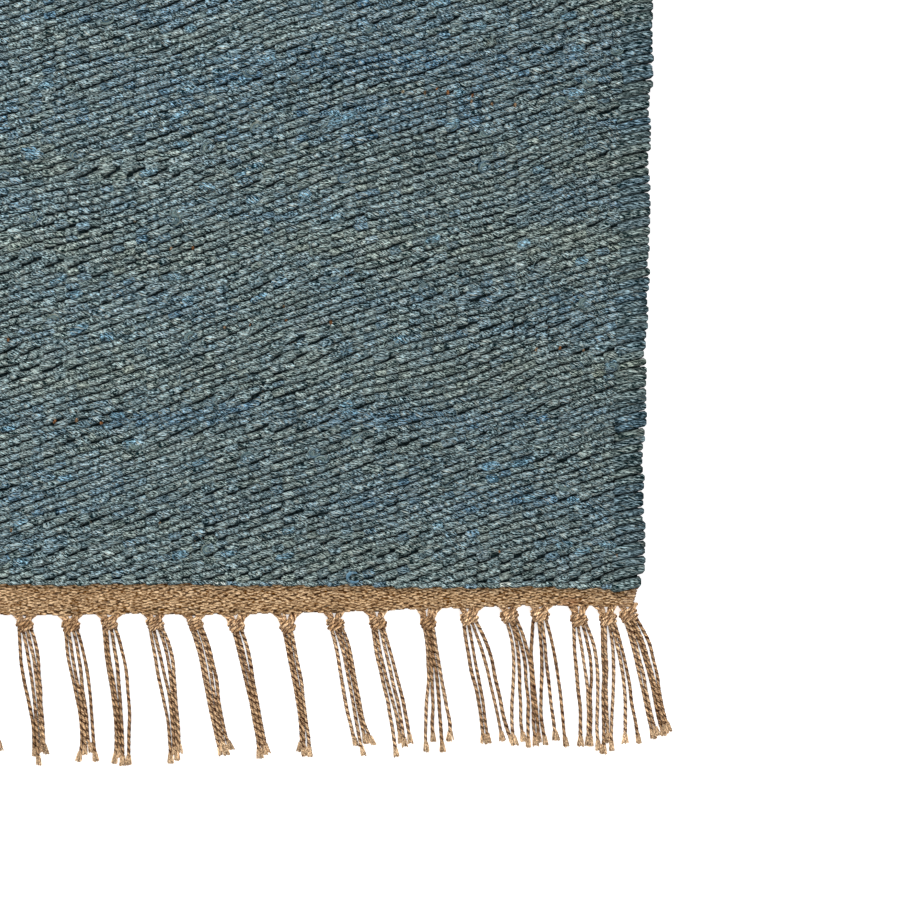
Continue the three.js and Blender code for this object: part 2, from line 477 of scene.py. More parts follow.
class NodeBench:
    """Adds the nodes of one material and links them as it goes."""

    def __init__(self, name: str) -> None:
        """Starts a material with nothing but its shader.

        Args:
            name: the material's name.
        """
        self.material = bpy.data.materials.new(name)
        self.material.use_nodes = True
        self.tree = self.material.node_tree
        self.shader = next(n for n in self.tree.nodes if n.type == "BSDF_PRINCIPLED")

    def add(self, kind: str, inputs: dict[str | int, Setting], **settings: str) -> bpy.types.Node:
        """Adds a node.

        Args:
            kind: Blender's name for the node.
            inputs: values or other nodes' outputs, by input name or number.
            settings: the node's own settings.

        Returns:
            The node.
        """
        node = self.tree.nodes.new(kind)
        for key, value in settings.items():
            setattr(node, key, value)
        for key, value in inputs.items():
            self.set(node.inputs[key], value)
        return node

    def set(self, socket: bpy.types.NodeSocket, value: Setting) -> None:
        """Gives an input a value, or links it to another node's output."""
        if isinstance(value, bpy.types.NodeSocket):
            self.tree.links.new(value, socket)
        else:
            socket.default_value = value

    def math(self, operation: str, first: Setting, second: Setting) -> bpy.types.NodeSocket:
        """The output of a sum of two values."""
        return self.add("ShaderNodeMath", {0: first, 1: second}, operation=operation).outputs[0]

    def between(self, value: Setting, start: Range, stop: Range) -> bpy.types.NodeSocket:
        """A value carried from one range to another, and held there."""
        limits = {"From Min": start[0], "From Max": start[1], "To Min": stop[0], "To Max": stop[1]}
        return self.add("ShaderNodeMapRange", {"Value": value, **limits}).outputs[0]

    def blend(self, share: Setting, first: Setting, second: Setting) -> bpy.types.NodeSocket:
        """Two colours mixed by a share. The mix node's colour inputs are 6 and 7, and its output is 2."""
        return self.add("ShaderNodeMix", {0: share, 6: first, 7: second}, data_type="RGBA").outputs[2]


@dataclass(frozen=True)
class YarnFinish:
    """The surface of a spun yarn: fibres that slant across it, with painted shade where it sinks between
    others.

    fibre is the length and width of a fibre bundle in millimetres, and lean its slant from the yarn's run in
    degrees. ply is the length and width of the broader grooves. low multiplies the dye where the yarn sinks
    between others, as painted shade, base on its open surface and high on the fibres that stand out, which is
    partly their own paler tone and partly painted highlight. pale_share is how many fibres lost the dye, pale
    is what they turned to, and relief is their height. cut is the part of the relief that goes from base to
    high, and rarity thins out the high part, so the colour is lighter where the relief is higher. depth is
    how far the painted shade turns the yarn to low where it sinks, and sinking how late it does. sheen is the
    weight of the fuzz on it. fibre_part is the fibres' share of the relief. stray is the length and width of
    the pale fibres against the others', and stray_rise where in the noise they begin and are whole. matt is
    the roughness of hollows and crests.
    """

    name: str
    lean: float
    fibre: Range
    ply: Range
    low: Colour
    base: Colour
    high: Colour
    pale: Colour
    pale_share: float
    relief: float
    cut: Range = (0.42, 0.61)
    depth: float = 0.95
    rarity: float = 1.15
    sinking: float = 2.2
    sheen: float = 0.01
    fibre_part: float = 0.84
    ply_lean: float = 4.0
    stray: Range = (2.2, 0.7)
    stray_lean: float = -9.0
    stray_rise: Range = (0.80, 0.86)
    matt: Range = (0.9, 0.7)
    gloss: float = 0.05

    def material(self) -> bpy.types.Material:
        """Makes the finish as a Blender material.

        Returns:
            The material.
        """
        bench = NodeBench(self.name)
        run = bench.add("ShaderNodeUVMap", {}, uv_map=YARN_MAP).outputs[0]
        grain = bench.add("ShaderNodeAttribute", {}, attribute_name=GRAIN).outputs["Fac"]
        painted_shade = bench.add("ShaderNodeAttribute", {}, attribute_name=PAINTED_SHADE).outputs["Fac"]
        dye = bench.add("ShaderNodeAttribute", {}, attribute_name=DYE).outputs["Color"]
        lift = bench.add("ShaderNodeCombineXYZ", {2: grain}).outputs[0]
        place = bench.add("ShaderNodeVectorMath", {0: run, 1: lift}, operation="ADD").outputs[0]
        fibres = self._streaks(bench, place, self.fibre, 0.0, 1.0)
        grooves = self._streaks(bench, place, self.ply, self.ply_lean, 0.0)
        stray_size = (self.fibre[0] * self.stray[0], self.fibre[1] * self.stray[1])
        strays = self._streaks(bench, place, stray_size, self.stray_lean, 0.0)
        fine = bench.math("MULTIPLY", fibres, self.fibre_part)
        broad = bench.math("MULTIPLY", grooves, 1.0 - self.fibre_part)
        relief = bench.math("ADD", fine, broad)
        # Lighter where the fibres stand out: partly their own paler tone, partly painted highlight.
        raised = bench.math("POWER", bench.between(relief, self.cut, (0.0, 1.0)), self.rarity)
        # Painted shade: the colour turns to low where a point lies deep between other yarns.
        sunk = bench.math("POWER", painted_shade, self.sinking)
        shown = bench.between(sunk, (0.0, 1.0), (1.0, 1.0 - self.depth))
        risen = bench.math("MULTIPLY", raised, shown)
        base = bench.blend(shown, (*self.low, 1.0), (*self.base, 1.0))
        light = bench.blend(risen, base, (*self.high, 1.0))
        lit = bench.add("ShaderNodeVectorMath", {0: dye, 1: light}, operation="MULTIPLY").outputs[0]
        rise = (self.stray_rise[0] - self.pale_share, self.stray_rise[1] - self.pale_share)
        lost = bench.between(strays, rise, (0.0, 1.0))
        final = bench.blend(bench.math("MULTIPLY", lost, shown), lit, (*self.pale, 1.0))
        bump_inputs = {"Strength": 1.0, "Distance": self.relief * MM, "Height": relief}
        bump = bench.add("ShaderNodeBump", bump_inputs).outputs[0]
        bench.set(bench.shader.inputs["Base Color"], final)
        bench.set(bench.shader.inputs["Roughness"], bench.between(fibres, (0.3, 0.7), self.matt))
        bench.set(bench.shader.inputs["Normal"], bump)
        bench.set(bench.shader.inputs["Sheen Weight"], self.sheen)
        bench.set(bench.shader.inputs["Specular IOR Level"], self.gloss)
        return bench.material

    def _streaks(
        self,
        bench: NodeBench,
        place: bpy.types.NodeSocket,
        size: Range,
        aside: float,
        detail: float,
    ) -> bpy.types.NodeSocket:
        """Noise drawn out along the fibres.

        Args:
            bench: the material's bench.
            place: the yarn's own coordinates.
            size: the streaks' length and width.
            aside: how far they turn from the fibres' slant, in degrees.
            detail: how many finer layers the noise has.

        Returns:
            The noise's output.
        """
        inputs = {
            "Vector": place,
            "Rotation": (0.0, 0.0, math.radians(self.lean + aside)),
            "Scale": (size[0], size[1], 1.0),
        }
        drawn = bench.add("ShaderNodeMapping", inputs, vector_type="TEXTURE").outputs[0]
        noise = {"Vector": drawn, "Scale": 1.0, "Detail": detail, "Roughness": 0.6}
        return bench.add("ShaderNodeTexNoise", noise).outputs["Fac"]


DYED_WEFT = YarnFinish(
    name="dyed_weft",
    lean=-30.0,
    fibre=(1.8, 0.32),
    ply=(2.6, 0.7),
    low=(0.0, 0.0, 0.01),
    base=(0.0, 0.09, 0.1),
    high=(8.55, 6.25, 6.0),
    cut=(0.42, 0.62),
    pale=screen(206, 214, 206),
    pale_share=0.13,
    relief=0.3,
    depth=1.0,
    rarity=2.75,
    sinking=1.12,
    sheen=0.0,
)
TURNED_WEFT = YarnFinish(
    name="turned_weft",
    lean=-18.0,
    fibre=(2.4, 0.32),
    ply=(4.0, 0.9),
    low=(0.0, 0.02, 0.03),
    base=(0.0, 0.09, 0.1),
    high=(7.2, 5.3, 5.1),
    cut=(0.42, 0.62),
    pale=screen(196, 204, 196),
    pale_share=0.08,
    relief=0.35,
    depth=1.0,
    rarity=2.7,
    sinking=1.6,
    sheen=0.0,
)
LOOSE_FIBRE = YarnFinish(
    name="loose_fibre",
    lean=0.0,
    fibre=(3.0, 0.5),
    ply=(4.0, 1.0),
    low=(0.07, 0.11, 0.12),
    base=(0.42, 0.5, 0.52),
    high=(1.6, 1.55, 1.5),
    pale=screen(206, 214, 206),
    pale_share=0.1,
    relief=0.1,
    rarity=1.0,
)
INNER_WARP = YarnFinish(
    name="inner_warp",
    lean=30.0,
    fibre=(3.0, 0.5),
    ply=(4.0, 1.0),
    low=(0.3, 0.28, 0.25),
    base=(0.3, 0.28, 0.25),
    high=(1.5, 1.5, 1.5),
    pale=screen(150, 130, 110),
    pale_share=0.03,
    relief=0.3,
)
PLAIN_WEFT = YarnFinish(
    name="plain_weft",
    lean=-4.0,
    fibre=(1.9, 0.36),
    ply=(2.4, 0.5),
    low=(0.1, 0.02, 0.0),
    base=(0.27, 0.16, 0.02),
    high=(2.0, 2.3, 3.0),
    pale=screen(226, 206, 174),
    pale_share=0.06,
    relief=0.25,
    rarity=1.1,
    sinking=1.35,
)
TWISTED_WARP = YarnFinish(
    name="twisted_warp",
    lean=32.0,
    fibre=(2.6, 0.34),
    ply=(3.4, 0.62),
    low=(0.04, 0.0, 0.0),
    base=(0.14, 0.04, 0.0),
    high=(2.64, 2.85, 3.08),
    cut=(0.41, 0.62),
    pale=screen(224, 206, 176),
    pale_share=0.05,
    relief=0.3,
    rarity=1.0,
    sinking=1.4,
)


@dataclass(frozen=True)
class Outline:
    """The rug's own edges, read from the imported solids.

    left and right are the field's long edges at the distances along the rug, and deep is how far the front
    heading reaches beyond the field at the distances across.
    """

    NEAR: ClassVar[float] = 0.02

    along: np.ndarray
    left: np.ndarray
    right: np.ndarray
    across: np.ndarray
    deep: np.ndarray

    @classmethod
    def read(cls, nodes: dict[str, bpy.types.Object]) -> "Outline":
        """Reads the field's long edges and the front heading's outer edge.

        Args:
            nodes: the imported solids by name.

        Returns:
            The edges.
        """
        field_points = cls._points(nodes["field"])
        heading = cls._points(nodes["heading_front"])
        along = np.unique(np.round(field_points[:, 1], 2))
        rows = [field_points[np.abs(field_points[:, 1] - y) < cls.NEAR, 0] for y in along]
        across = np.unique(np.round(heading[:, 0], 2))
        lines = [heading[np.abs(heading[:, 0] - x) < cls.NEAR, 1] for x in across]
        left = np.array([row.min() for row in rows])
        right = np.array([row.max() for row in rows])
        deep = -HALF_LENGTH - np.array([line.min() for line in lines])
        return cls(along, left, right, across, deep)

    @staticmethod
    def _points(node: bpy.types.Object) -> np.ndarray:
        """Reads a solid's points.

        Args:
            node: the solid.

        Returns:
            Its points, in millimetres.
        """
        points = np.empty(len(node.data.vertices) * 3, np.float32)
        node.data.vertices.foreach_get("co", points)
        return points.reshape(-1, 3).astype(float) / MM

    def sides(self, y: np.ndarray, face: Face = Face.UPPER) -> tuple[np.ndarray, np.ndarray]:
        """Where the left and right edges run.

        Args:
            y: distances along the rug.
            face: the face that they are seen from.

        Returns:
            The left and the right edge at each distance.
        """
        left = np.interp(y, self.along, self.left)
        right = np.interp(y, self.along, self.right)
        return (left, right) if face is Face.UPPER else (-right, -left)

    def depth(self, x: np.ndarray, face: Face = Face.UPPER) -> np.ndarray:
        """How deep the front heading is, seen from one face."""
        return np.interp(x * face.value, self.across, self.deep)


@dataclass
class Lenses:
    """Short stretches of yarn that rise over a warp and dive again at both ends, one for each place.

    x and y are their middles, tilt their slant from the X axis in radians, half their half length, width how
    wide they are, crest how high they reach and base how high their edges lie. dye is each one's colour, and
    tip how deep its ends are sunk, from 0 to 1, which darkens them as painted shade.
    """

    STATIONS: ClassVar[Range] = (-0.63, 0.63)
    EDGE: ClassVar[float] = math.radians(84.0)
    BLUNT: ClassVar[float] = 0.75
    END_RISE: ClassVar[float] = 0.1
    # The least painted shade, which even a float's crest gets.
    CREST_SHADE: ClassVar[float] = 0.06
    ROUND: ClassVar[float] = 1.35

    x: np.ndarray
    y: np.ndarray
    tilt: np.ndarray
    half: np.ndarray
    width: np.ndarray
    crest: np.ndarray
    base: float
    dye: np.ndarray
    tip: float = 0.6

    def yarns(self, rng: np.random.Generator, sides: int) -> Yarns:
        """Builds them.

        Args:
            rng: the source of their grain.
            sides: how many points lie across each.

        Returns:
            The yarns.
        """
        stations = np.array(self.STATIONS)
        template = Template(len(stations), sides)
        level = np.ones(len(stations))
        share = np.linspace(-1.0, 1.0, sides)
        angle = self.EDGE * np.sign(share) * np.abs(share) ** self.BLUNT
        full = np.sqrt(1.0 - np.abs(stations) ** 3.0)
        along = np.repeat(stations, sides)[None, :] * self.half[:, None]
        across = np.outer(full, np.sin(angle)).ravel()[None, :] * self.width[:, None] / 2
        dome = np.outer(level, np.cos(angle) ** self.BLUNT).ravel()
        rise = dome[None, :] * (self.crest - self.base)[:, None]
        ends = self.half[:, None] * np.array([-1.0, 1.0])
        along = np.concatenate([along, ends], axis=1)
        across = np.concatenate([across, 0 * ends], axis=1)
        rise = np.concatenate([rise, 0 * ends + self.END_RISE], axis=1)
        cosine, sine = np.cos(self.tilt)[:, None], np.sin(self.tilt)[:, None]
        x = self.x[:, None] + along * cosine - across * sine
        y = self.y[:, None] + along * sine + across * cosine
        places = np.stack([x, y, rise + self.base], -1)
        # Painted shade: darker towards a float's edges, and at its ends by tip.
        sunk = np.outer(level, 1.0 - np.cos(angle)).ravel() + self.CREST_SHADE
        painted_shade = np.concatenate([np.clip(sunk, 0, 1), [self.tip, self.tip]])
        return Yarns.drawn(rng, template, (places, along), self.width * self.ROUND, painted_shade, self.dye)


def filling(run: np.ndarray, ring: list[tuple], girth: float, colour: Colour, grain: float) -> Yarns:
    """The dense middle of a cloth, as one flat block just below the bottoms of the floats.

    Args:
        run: the places of its rings along it.
        ring: the x, y and z of each corner on the way, and then of the middles.
        girth: the distance round it.
        colour: its colour.
        grain: its grain.

    Returns:
        The block.
    """
    *corners, middle = [np.stack(np.broadcast_arrays(*corner), -1) for corner in ring]
    template = Template(len(run), len(corners), closed=True)
    places = np.concatenate([np.stack(corners, 1).reshape(-1, 3), middle[[0, -1]]])[None]
    along = np.concatenate([np.repeat(run, len(corners)), run[[0, -1]]])[None]
    # Painted shade: the block is darkened a little all over.
    painted_shade = np.full(along.shape, 0.3)
    return Yarns(template, places, along, np.array([girth]), painted_shade, np.array([colour]), np.array([grain]))


# How far in from the outermost warps a float counts as one of the edge's, and how high the slubs' edges lie.
RIM = 6.4
SLUB_BASE = 5.4

# Where along the rug the weft changes: the middle and half width of a band of picks, how much bluer it is (or
# greener, below zero) and how much lighter.
BANDS = (
    (-148.0, 8.0, 0.50, -0.04),
    (-178.0, 14.0, 0.25, 0.00),
    (-207.0, 7.0, -0.15, -0.04),
    (-244.0, 11.0, -0.45, 0.02),
    (-280.0, 15.0, 0.10, 0.04),
    (-314.0, 15.0, -0.35, 0.02),
    (-342.0, 8.0, 0.35, -0.07),
    (-386.0, 7.0, 0.30, 0.00),
)


@dataclass(frozen=True)
class DyeLot:
    """The colours that a batch of dyed jute shows along its yarns.

    hues are the shares that broad bands, patches, each yarn, each fibre and short streaks have in how blue
    or green a place is, and shades the shares of broad and close changes in how light it is. deeper and
    paler are how much of those colours their yarns take, and edge_shade how light the right edge still is.
    """

    middle: Colour = screen(80, 108, 113)
    green: Colour = screen(89, 112, 107)
    blue: Colour = screen(66, 102, 120)
    deep: Colour = screen(67, 92, 99)
    pale: Colour = screen(110, 135, 140)
    hues: tuple[float, ...] = (0.25, 0.32, 0.36, 0.14, 0.62)
    shades: Range = (0.04, 0.03)
    deeper: float = 0.24
    paler: float = 0.26
    edge_shade: float = 0.84

    def along(self, rng: np.random.Generator, x: np.ndarray, y: np.ndarray) -> np.ndarray:
        """The dye's colour at each place of a grid of yarns.

        Args:
            rng: the source of its random numbers.
            x: each place's distance across the rug, a row for each yarn.
            y: each place's distance along it.

        Returns:
            Linear colours, in the shape of x with three channels.
        """
        yarns, places = x.shape
        broad, patchy, spun, fibrous, streaky = self.hues
        bands = Drift.make(rng, (240.0, 30.0)).at(x, y)
        patches = Drift.make(rng, (60.0, 14.0)).at(x, y)
        shade = 1.0 + self.shades[0] * Drift.make(rng, (130.0, 55.0)).at(x, y)
        shade = shade + self.shades[1] * Drift.make(rng, (45.0, 16.0)).at(x, y)
        # Darker towards the right edge.
        shade = shade * np.interp(x, [-60.0, 295.0], [1.0, self.edge_shade])
        hue = broad * bands + patchy * patches + spun * along_yarns(rng, yarns, places, 5.0)
        hue = hue + fibrous * rng.normal(0.0, 1.0, x.shape)
        hue = hue + streaky * ease((along_yarns(rng, yarns, places, 1.8) - 0.62) / 0.3)
        for middle, reach, bluer, lighter in BANDS:
            near = np.exp(-(((y - middle) / reach) ** 2))
            hue = hue + bluer * near
            shade = shade * (1.0 + lighter * near)
        sunk = ease((along_yarns(rng, yarns, places, 6.0) - 0.35) / 0.6)
        faded = ease((along_yarns(rng, yarns, places, 4.0) - 0.60) / 0.4)
        colour = self._mix(np.array(self.middle), self.green, np.clip(-hue, 0.0, 1.3))
        colour = self._mix(colour, self.blue, np.clip(hue, 0.0, 1.2))
        colour = self._mix(colour, self.deep, sunk * self.deeper)
        colour = self._mix(colour, self.pale, faded * self.paler)
        return colour * (shade * rng.uniform(0.96, 1.04, x.shape))[..., None]

    @staticmethod
    def _mix(first: np.ndarray, second: Colour, share: np.ndarray) -> np.ndarray:
        """Two colours mixed by a share for each place."""
        return first * (1 - share[..., None]) + np.array(second) * share[..., None]


@dataclass
class Field:
    """The dyed field: floats of weft on both faces, over straight warps and a core.

    columns is how many warps it has, and rows half how many picks. inset is how far the outermost warps lie
    from the long edges. crest and float_base are the top and the bottom of its floats, and core_top is the
    core's. edge_trim is how much the warps and the core are shorter than the field, and bands is how many
    pieces the upper face is shared out among. uneven is how much the yarn's thickness wavers, and slubs,
    fat_slubs and bare_runs are how many of each it has.
    """

    outline: Outline
    lot: DyeLot
    columns: int = 92
    rows: int = 198
    inset: float = 9.5
    crest: float = 7.0
    float_base: float = 4.0
    core_top: float = 4.4
    edge_trim: float = 2.6
    bands: int = 2
    uneven: float = 0.18
    slubs: int = 620
    fat_slubs: int = 380
    bare_runs: int = 95

    @property
    def pitch(self) -> float:
        """How far apart the picks lie."""
        return FIELD_LENGTH / (2 * self.rows)

    @staticmethod
    def _smooth(heap: np.ndarray, reach: int) -> np.ndarray:
        """Averages an array along its first axis.

        Args:
            heap: the array, a row for each pick.
            reach: how many picks the window reaches each way.

        Returns:
            The averages, in the array's shape.
        """
        window = np.hanning(2 * reach + 3)
        window /= window.sum()
        padded = np.pad(heap, ((reach + 1, reach + 1), (0, 0)), mode="edge")
        return np.apply_along_axis(lambda line: np.convolve(line, window, mode="valid"), 0, padded)

    @staticmethod
    def _open(x: np.ndarray, y: np.ndarray, face: Face) -> np.ndarray:
        """How loosely the weft lies at some places, from 0 to 1: there its floats part and warp shows."""
        rng = np.random.default_rng(15 if face is Face.UPPER else 25)
        return ease((Drift.make(rng, (38.0, 14.0)).at(x, y) - 0.25) / 0.5)

    @staticmethod
    def _shifted(x: np.ndarray, y: np.ndarray, face: Face) -> np.ndarray:
        """Moves the picks beside each heading to where that heading begins.

        Args:
            x: each place's distance across the rug.
            y: its distance along it.
            face: the face that it is seen from.

        Returns:
            The distances along the rug, moved.
        """
        for end in End:
            near = np.clip(1.0 - (HALF_LENGTH + y * end.value) / 16.0, 0.0, 1.0)
            y = y + end.value * near * heading_rise(x * end.value * face.value)
        return y

    def _column(self, column: np.ndarray, y: np.ndarray, face: Face) -> np.ndarray:
        """Where a warp runs across the rug."""
        left, right = self.outline.sides(y, face)
        return left + self.inset + (column + 0.5) / self.columns * (right - left - 2 * self.inset)

    def _thickness(self, rng: np.random.Generator, column: np.ndarray) -> np.ndarray:
        """How thick the weft is at each place, with its slubs.

        Args:
            rng: the source of its random numbers.
            column: each place's warp, a row for each pick.

        Returns:
            The thickness at each place, about 1.
        """
        picks, places = column.shape
        thick = 1.0 + self.uneven * along_yarns(rng, picks, places, 7.0)
        for _ in range(self.slubs):
            row, middle = int(rng.integers(picks)), rng.uniform(0, self.columns)
            reach, extra = rng.uniform(0.7, 4.0), rng.uniform(0.25, 1.0)
            thick[row] += extra * np.exp(-(((column[0] - middle) / reach) ** 2))
        return thick

    def _beaten(self, pick: np.ndarray, thick: np.ndarray) -> tuple[np.ndarray, np.ndarray]:
        """Where the picks lie along the rug: thick ones push the next aside, and the last ones are drawn in.

        Args:
            pick: each place's pick.
            thick: how thick the weft is there.

        Returns:
            The distance along the rug, and how free each place is of the field's ends, from 0 to 1.
        """
        heap = np.cumsum(thick - 1.0, axis=0) * self.pitch
        heap -= 0.9 * self._smooth(heap, 14)
        y = -HALF_LENGTH + (pick + 0.5) * self.pitch
        from_end = HALF_LENGTH - np.abs(y)
        free = np.clip(from_end / 14.0, 0.0, 1.0)
        picks_in = [-0.5, 0.5, 1.5, 2.5, 3.5, 5.5]
        drawn = np.interp(from_end / self.pitch, picks_in, [0.0, 0.0, 0.6, 0.45, 0.25, 0.0]) * self.pitch
        return y + heap * free + np.sign(y) * drawn, free

    def floats(self, face: Face, seed: int) -> Lenses:
        """Lays out one face's floats.

        Args:
            face: the face that they show on.
            seed: the seed of its random numbers.

        Returns:
            The floats, in the coordinates of an upper face.
        """
        rng = np.random.default_rng(seed)
        picks = 2 * self.rows + 2
        pick, column = np.meshgrid(np.arange(-1, picks - 1), np.arange(-1, self.columns + 1), indexing="ij")
        thick = self._thickness(rng, column)
        y, free = self._beaten(pick, thick)
        x = self._column(column, y, face)
        waves = 2.3 * Drift.make(rng, (70.0, 60.0)).at(x, y)
        waves = waves + Drift.make(rng, (26.0, 20.0)).at(x, y)
        y = self._shifted(x, y + free * waves, face)
        rough = ease(0.5 + 0.9 * Drift.make(rng, (60.0, 22.0)).at(x, y))
        x = x + rng.uniform(-0.5, 0.5, x.shape)
        dye = self.lot.along(rng, x, y)
        dye = self._first_picks(rng, dye, np.clip((3.0 - (HALF_LENGTH - np.abs(y))) / 1.2, 0.0, 1.0))

        inner = (slice(1, -1), slice(1, -1))
        run = x[2:, 2:] - x[:-2, :-2]
        climb = y[2:, 2:] - y[:-2, :-2]
        width = (y[2:, 1:-1] - y[:-2, 1:-1]) * rng.uniform(1.05, 1.18, run.shape)
        parted = self._open(x[inner], y[inner], face)
        width = width * (1.0 - 0.05 * parted)
        leaning = Drift.make(rng, (50.0, 30.0)).at(x[inner], y[inner])
        loose = 1.4 + 2.4 * rough[inner]
        astray = np.radians(loose * rng.normal(0.0, 1.0, run.shape))
        tilt = np.arctan2(climb, run) - np.radians(3.5 - 5.0 * leaning) + astray
        tilt = tilt * np.clip((HALF_LENGTH - np.abs(y[inner])) / 5.0, 0.45, 1.0)
        plump = np.clip(thick[inner] - 1.0, -0.3, 0.8)
        half = 4.85 * rng.uniform(0.92, 1.08, run.shape) * (1.0 + 0.15 * plump) * (1.0 - 0.1 * parted)
        crest = self.crest - 0.5 * rng.uniform(0.0, 1.0, run.shape) + 0.4 * plump - 0.2
        if face is Face.UNDER:
            crest = np.minimum(crest, self.crest)
        shown = (pick[inner] + column[inner]) % 2 == 0
        rows = [values[shown] for values in (x[inner], y[inner], tilt, half, width, crest)]
        return Lenses(*rows, self.float_base, dye[inner][shown])

    @staticmethod
    def _first_picks(rng: np.random.Generator, dye: np.ndarray, share: np.ndarray) -> np.ndarray:
        """Gives the picks beside the headings their paler and bluer yarn.

        Args:
            rng: the source of its random numbers.
            dye: the dye at each place.
            share: how far each place belongs to those picks.

        Returns:
            The dye with them in it.
        """
        yarns = lots((128, 150, 146), (98, 128, 132), (74, 108, 124), (86, 114, 116))
        chosen = yarns[rng.choice(len(yarns), size=share.shape, p=[0.16, 0.22, 0.17, 0.45])]
        part = 0.75 * share[..., None]
        return dye * (1 - part) + chosen * part

    def build(
        self,
        upper: Lenses,
        finish: bpy.types.Material,
        dark: bpy.types.Material,
        others: list[bpy.types.Object],
    ) -> list[bpy.types.Object]:
        """Builds every piece of the field.

        Args:
            upper: the floats of its upper face.
            finish: the finish of the dyed yarn.
            dark: the finish of the warps and the core.
            others: not used.

        Returns:
            The pieces, with the core last.
        """
        rng = np.random.default_rng(12)
        yarns = upper.yarns(rng, 5)
        left, right = self.outline.sides(upper.y)
        outermost = np.minimum(upper.x - left, right - upper.x) < self.inset + RIM
        kept = ~outermost | (rng.random(len(upper.x)) < 0.3)
        band = np.clip(((upper.y / FIELD_LENGTH + 0.5) * self.bands).astype(int), 0, self.bands - 1)
        pieces = [
            make_piece(f"weft_upper_{number + 1}", [yarns.picked((band == number) & kept)], finish)
            for number in range(self.bands)
        ]
        under = self.floats(Face.UNDER, 21).yarns(np.random.default_rng(22), 3)
        under = under.moved(lambda points: Face.UNDER.place(points, FIELD_THICKNESS))
        pieces.append(make_piece("weft_under", [under], finish))
        pieces.append(make_piece("weft_slubs", [self._fat_slubs()], finish))
        pieces.append(make_piece("field_warps", [self._warps(), self._bare_places(upper)], dark))
        core = make_piece("field_core", [self._core()], dark)
        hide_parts("field")
        return [*pieces, core]

    def _fat_slubs(self) -> Yarns:
        """Makes the fat, barely twisted stretches of weft that bulge over the floats beside them.

        Returns:
            The slubs.
        """
        rng = np.random.default_rng(35)
        count = self.fat_slubs
        x, y = rng.uniform(-284.0, 284.0, count), rng.uniform(-424.0, 424.0, count)
        dye = self.lot.along(rng, x[:, None], y[:, None])[:, 0]
        bluer = rng.random((count, 1)) < 0.7
        slubs = Lenses(
            x=x,
            y=y,
            tilt=np.radians(rng.normal(15.0, 8.0, count)),
            half=rng.uniform(3.6, 6.4, count),
            width=rng.uniform(4.0, 6.2, count),
            crest=rng.uniform(7.0, 7.6, count),
            base=SLUB_BASE,
            dye=np.where(bluer, 0.4 * dye + 0.6 * np.array(screen(68, 112, 132)), dye),
        )
        return slubs.yarns(rng, 5)

    def _warps(self) -> Yarns:
        """Makes the warps inside the field, dyed near black as painted shade for the gaps between the floats.

        Returns:
            The warps.
        """
        rng = np.random.default_rng(31)
        template = Template(12, 4, closed=True)
        y = np.linspace(-1.0, 1.0, template.rings + 2) * (HALF_LENGTH - self.edge_trim)
        x = self._column(np.arange(self.columns)[:, None], y[None, :], Face.UPPER)
        spine = np.stack([x, np.broadcast_to(y, x.shape), np.full(x.shape, FIELD_THICKNESS / 2)], -1)
        shape = (self.columns, template.rings)
        shape = tubes(template, spine, np.full(shape, 0.9), np.full(shape, 1.5))
        # Near black, as painted shade in the gaps between the floats, where these warps show.
        dye = np.array(screen(30, 44, 46)) * rng.uniform(0.8, 1.2, (self.columns, 1))
        return Yarns.drawn(rng, template, shape, 5.5, 0.4, dye)

    def _bare_places(self, floats: Lenses) -> Yarns:
        """Makes short stretches of undyed warp, which show where the weft parts.

        Args:
            floats: the floats of the upper face.

        Returns:
            The stretches of warp.
        """
        rng = np.random.default_rng(32)
        loose = self._open(floats.x, floats.y, Face.UPPER) + 0.08
        starts = rng.choice(len(floats.x), self.bare_runs, replace=False, p=loose / loose.sum())
        chosen = np.concatenate([start + np.arange(rng.integers(1, 5)) for start in starts])
        chosen = np.unique(chosen[(rng.random(len(chosen)) < 0.8) & (chosen < len(floats.x))])
        count = len(chosen)
        bare = lots((146, 122, 98), (140, 98, 66), (158, 148, 126))
        warps = Lenses(
            x=floats.x[chosen] + rng.uniform(2.2, 4.2, count),
            y=floats.y[chosen] - floats.width[chosen] * rng.uniform(0.05, 0.45, count),
            tilt=np.full(count, math.pi / 2) + rng.normal(0.0, 0.15, count),
            half=rng.uniform(1.0, 1.7, count),
            width=rng.uniform(1.5, 2.5, count),
            crest=rng.uniform(6.0, 6.9, count),
            base=self.float_base,
            dye=bare[rng.integers(0, len(bare), count)],
        )
        return warps.yarns(rng, 5)

    def _core(self) -> Yarns:
        """Makes the dense middle of the cloth, near black as painted shade for the gaps between the floats.

        Returns:
            The core, as one block.
        """
        y = np.linspace(-1.0, 1.0, 24) * (HALF_LENGTH - self.edge_trim)
        left, right = self.outline.sides(y)
        left, right = left + self.edge_trim, right - self.edge_trim
        low, high = FIELD_THICKNESS - self.core_top, self.core_top
        middle = (0.0, y, FIELD_THICKNESS / 2)
        ring = [(left, y, high), (left, y, low), (right, y, low), (right, y, high), middle]
        # Near black: the cloth's middle, and painted shade where it shows between the floats.
        return filling(y, ring, 1200.0, screen(26, 42, 46), 3.0)


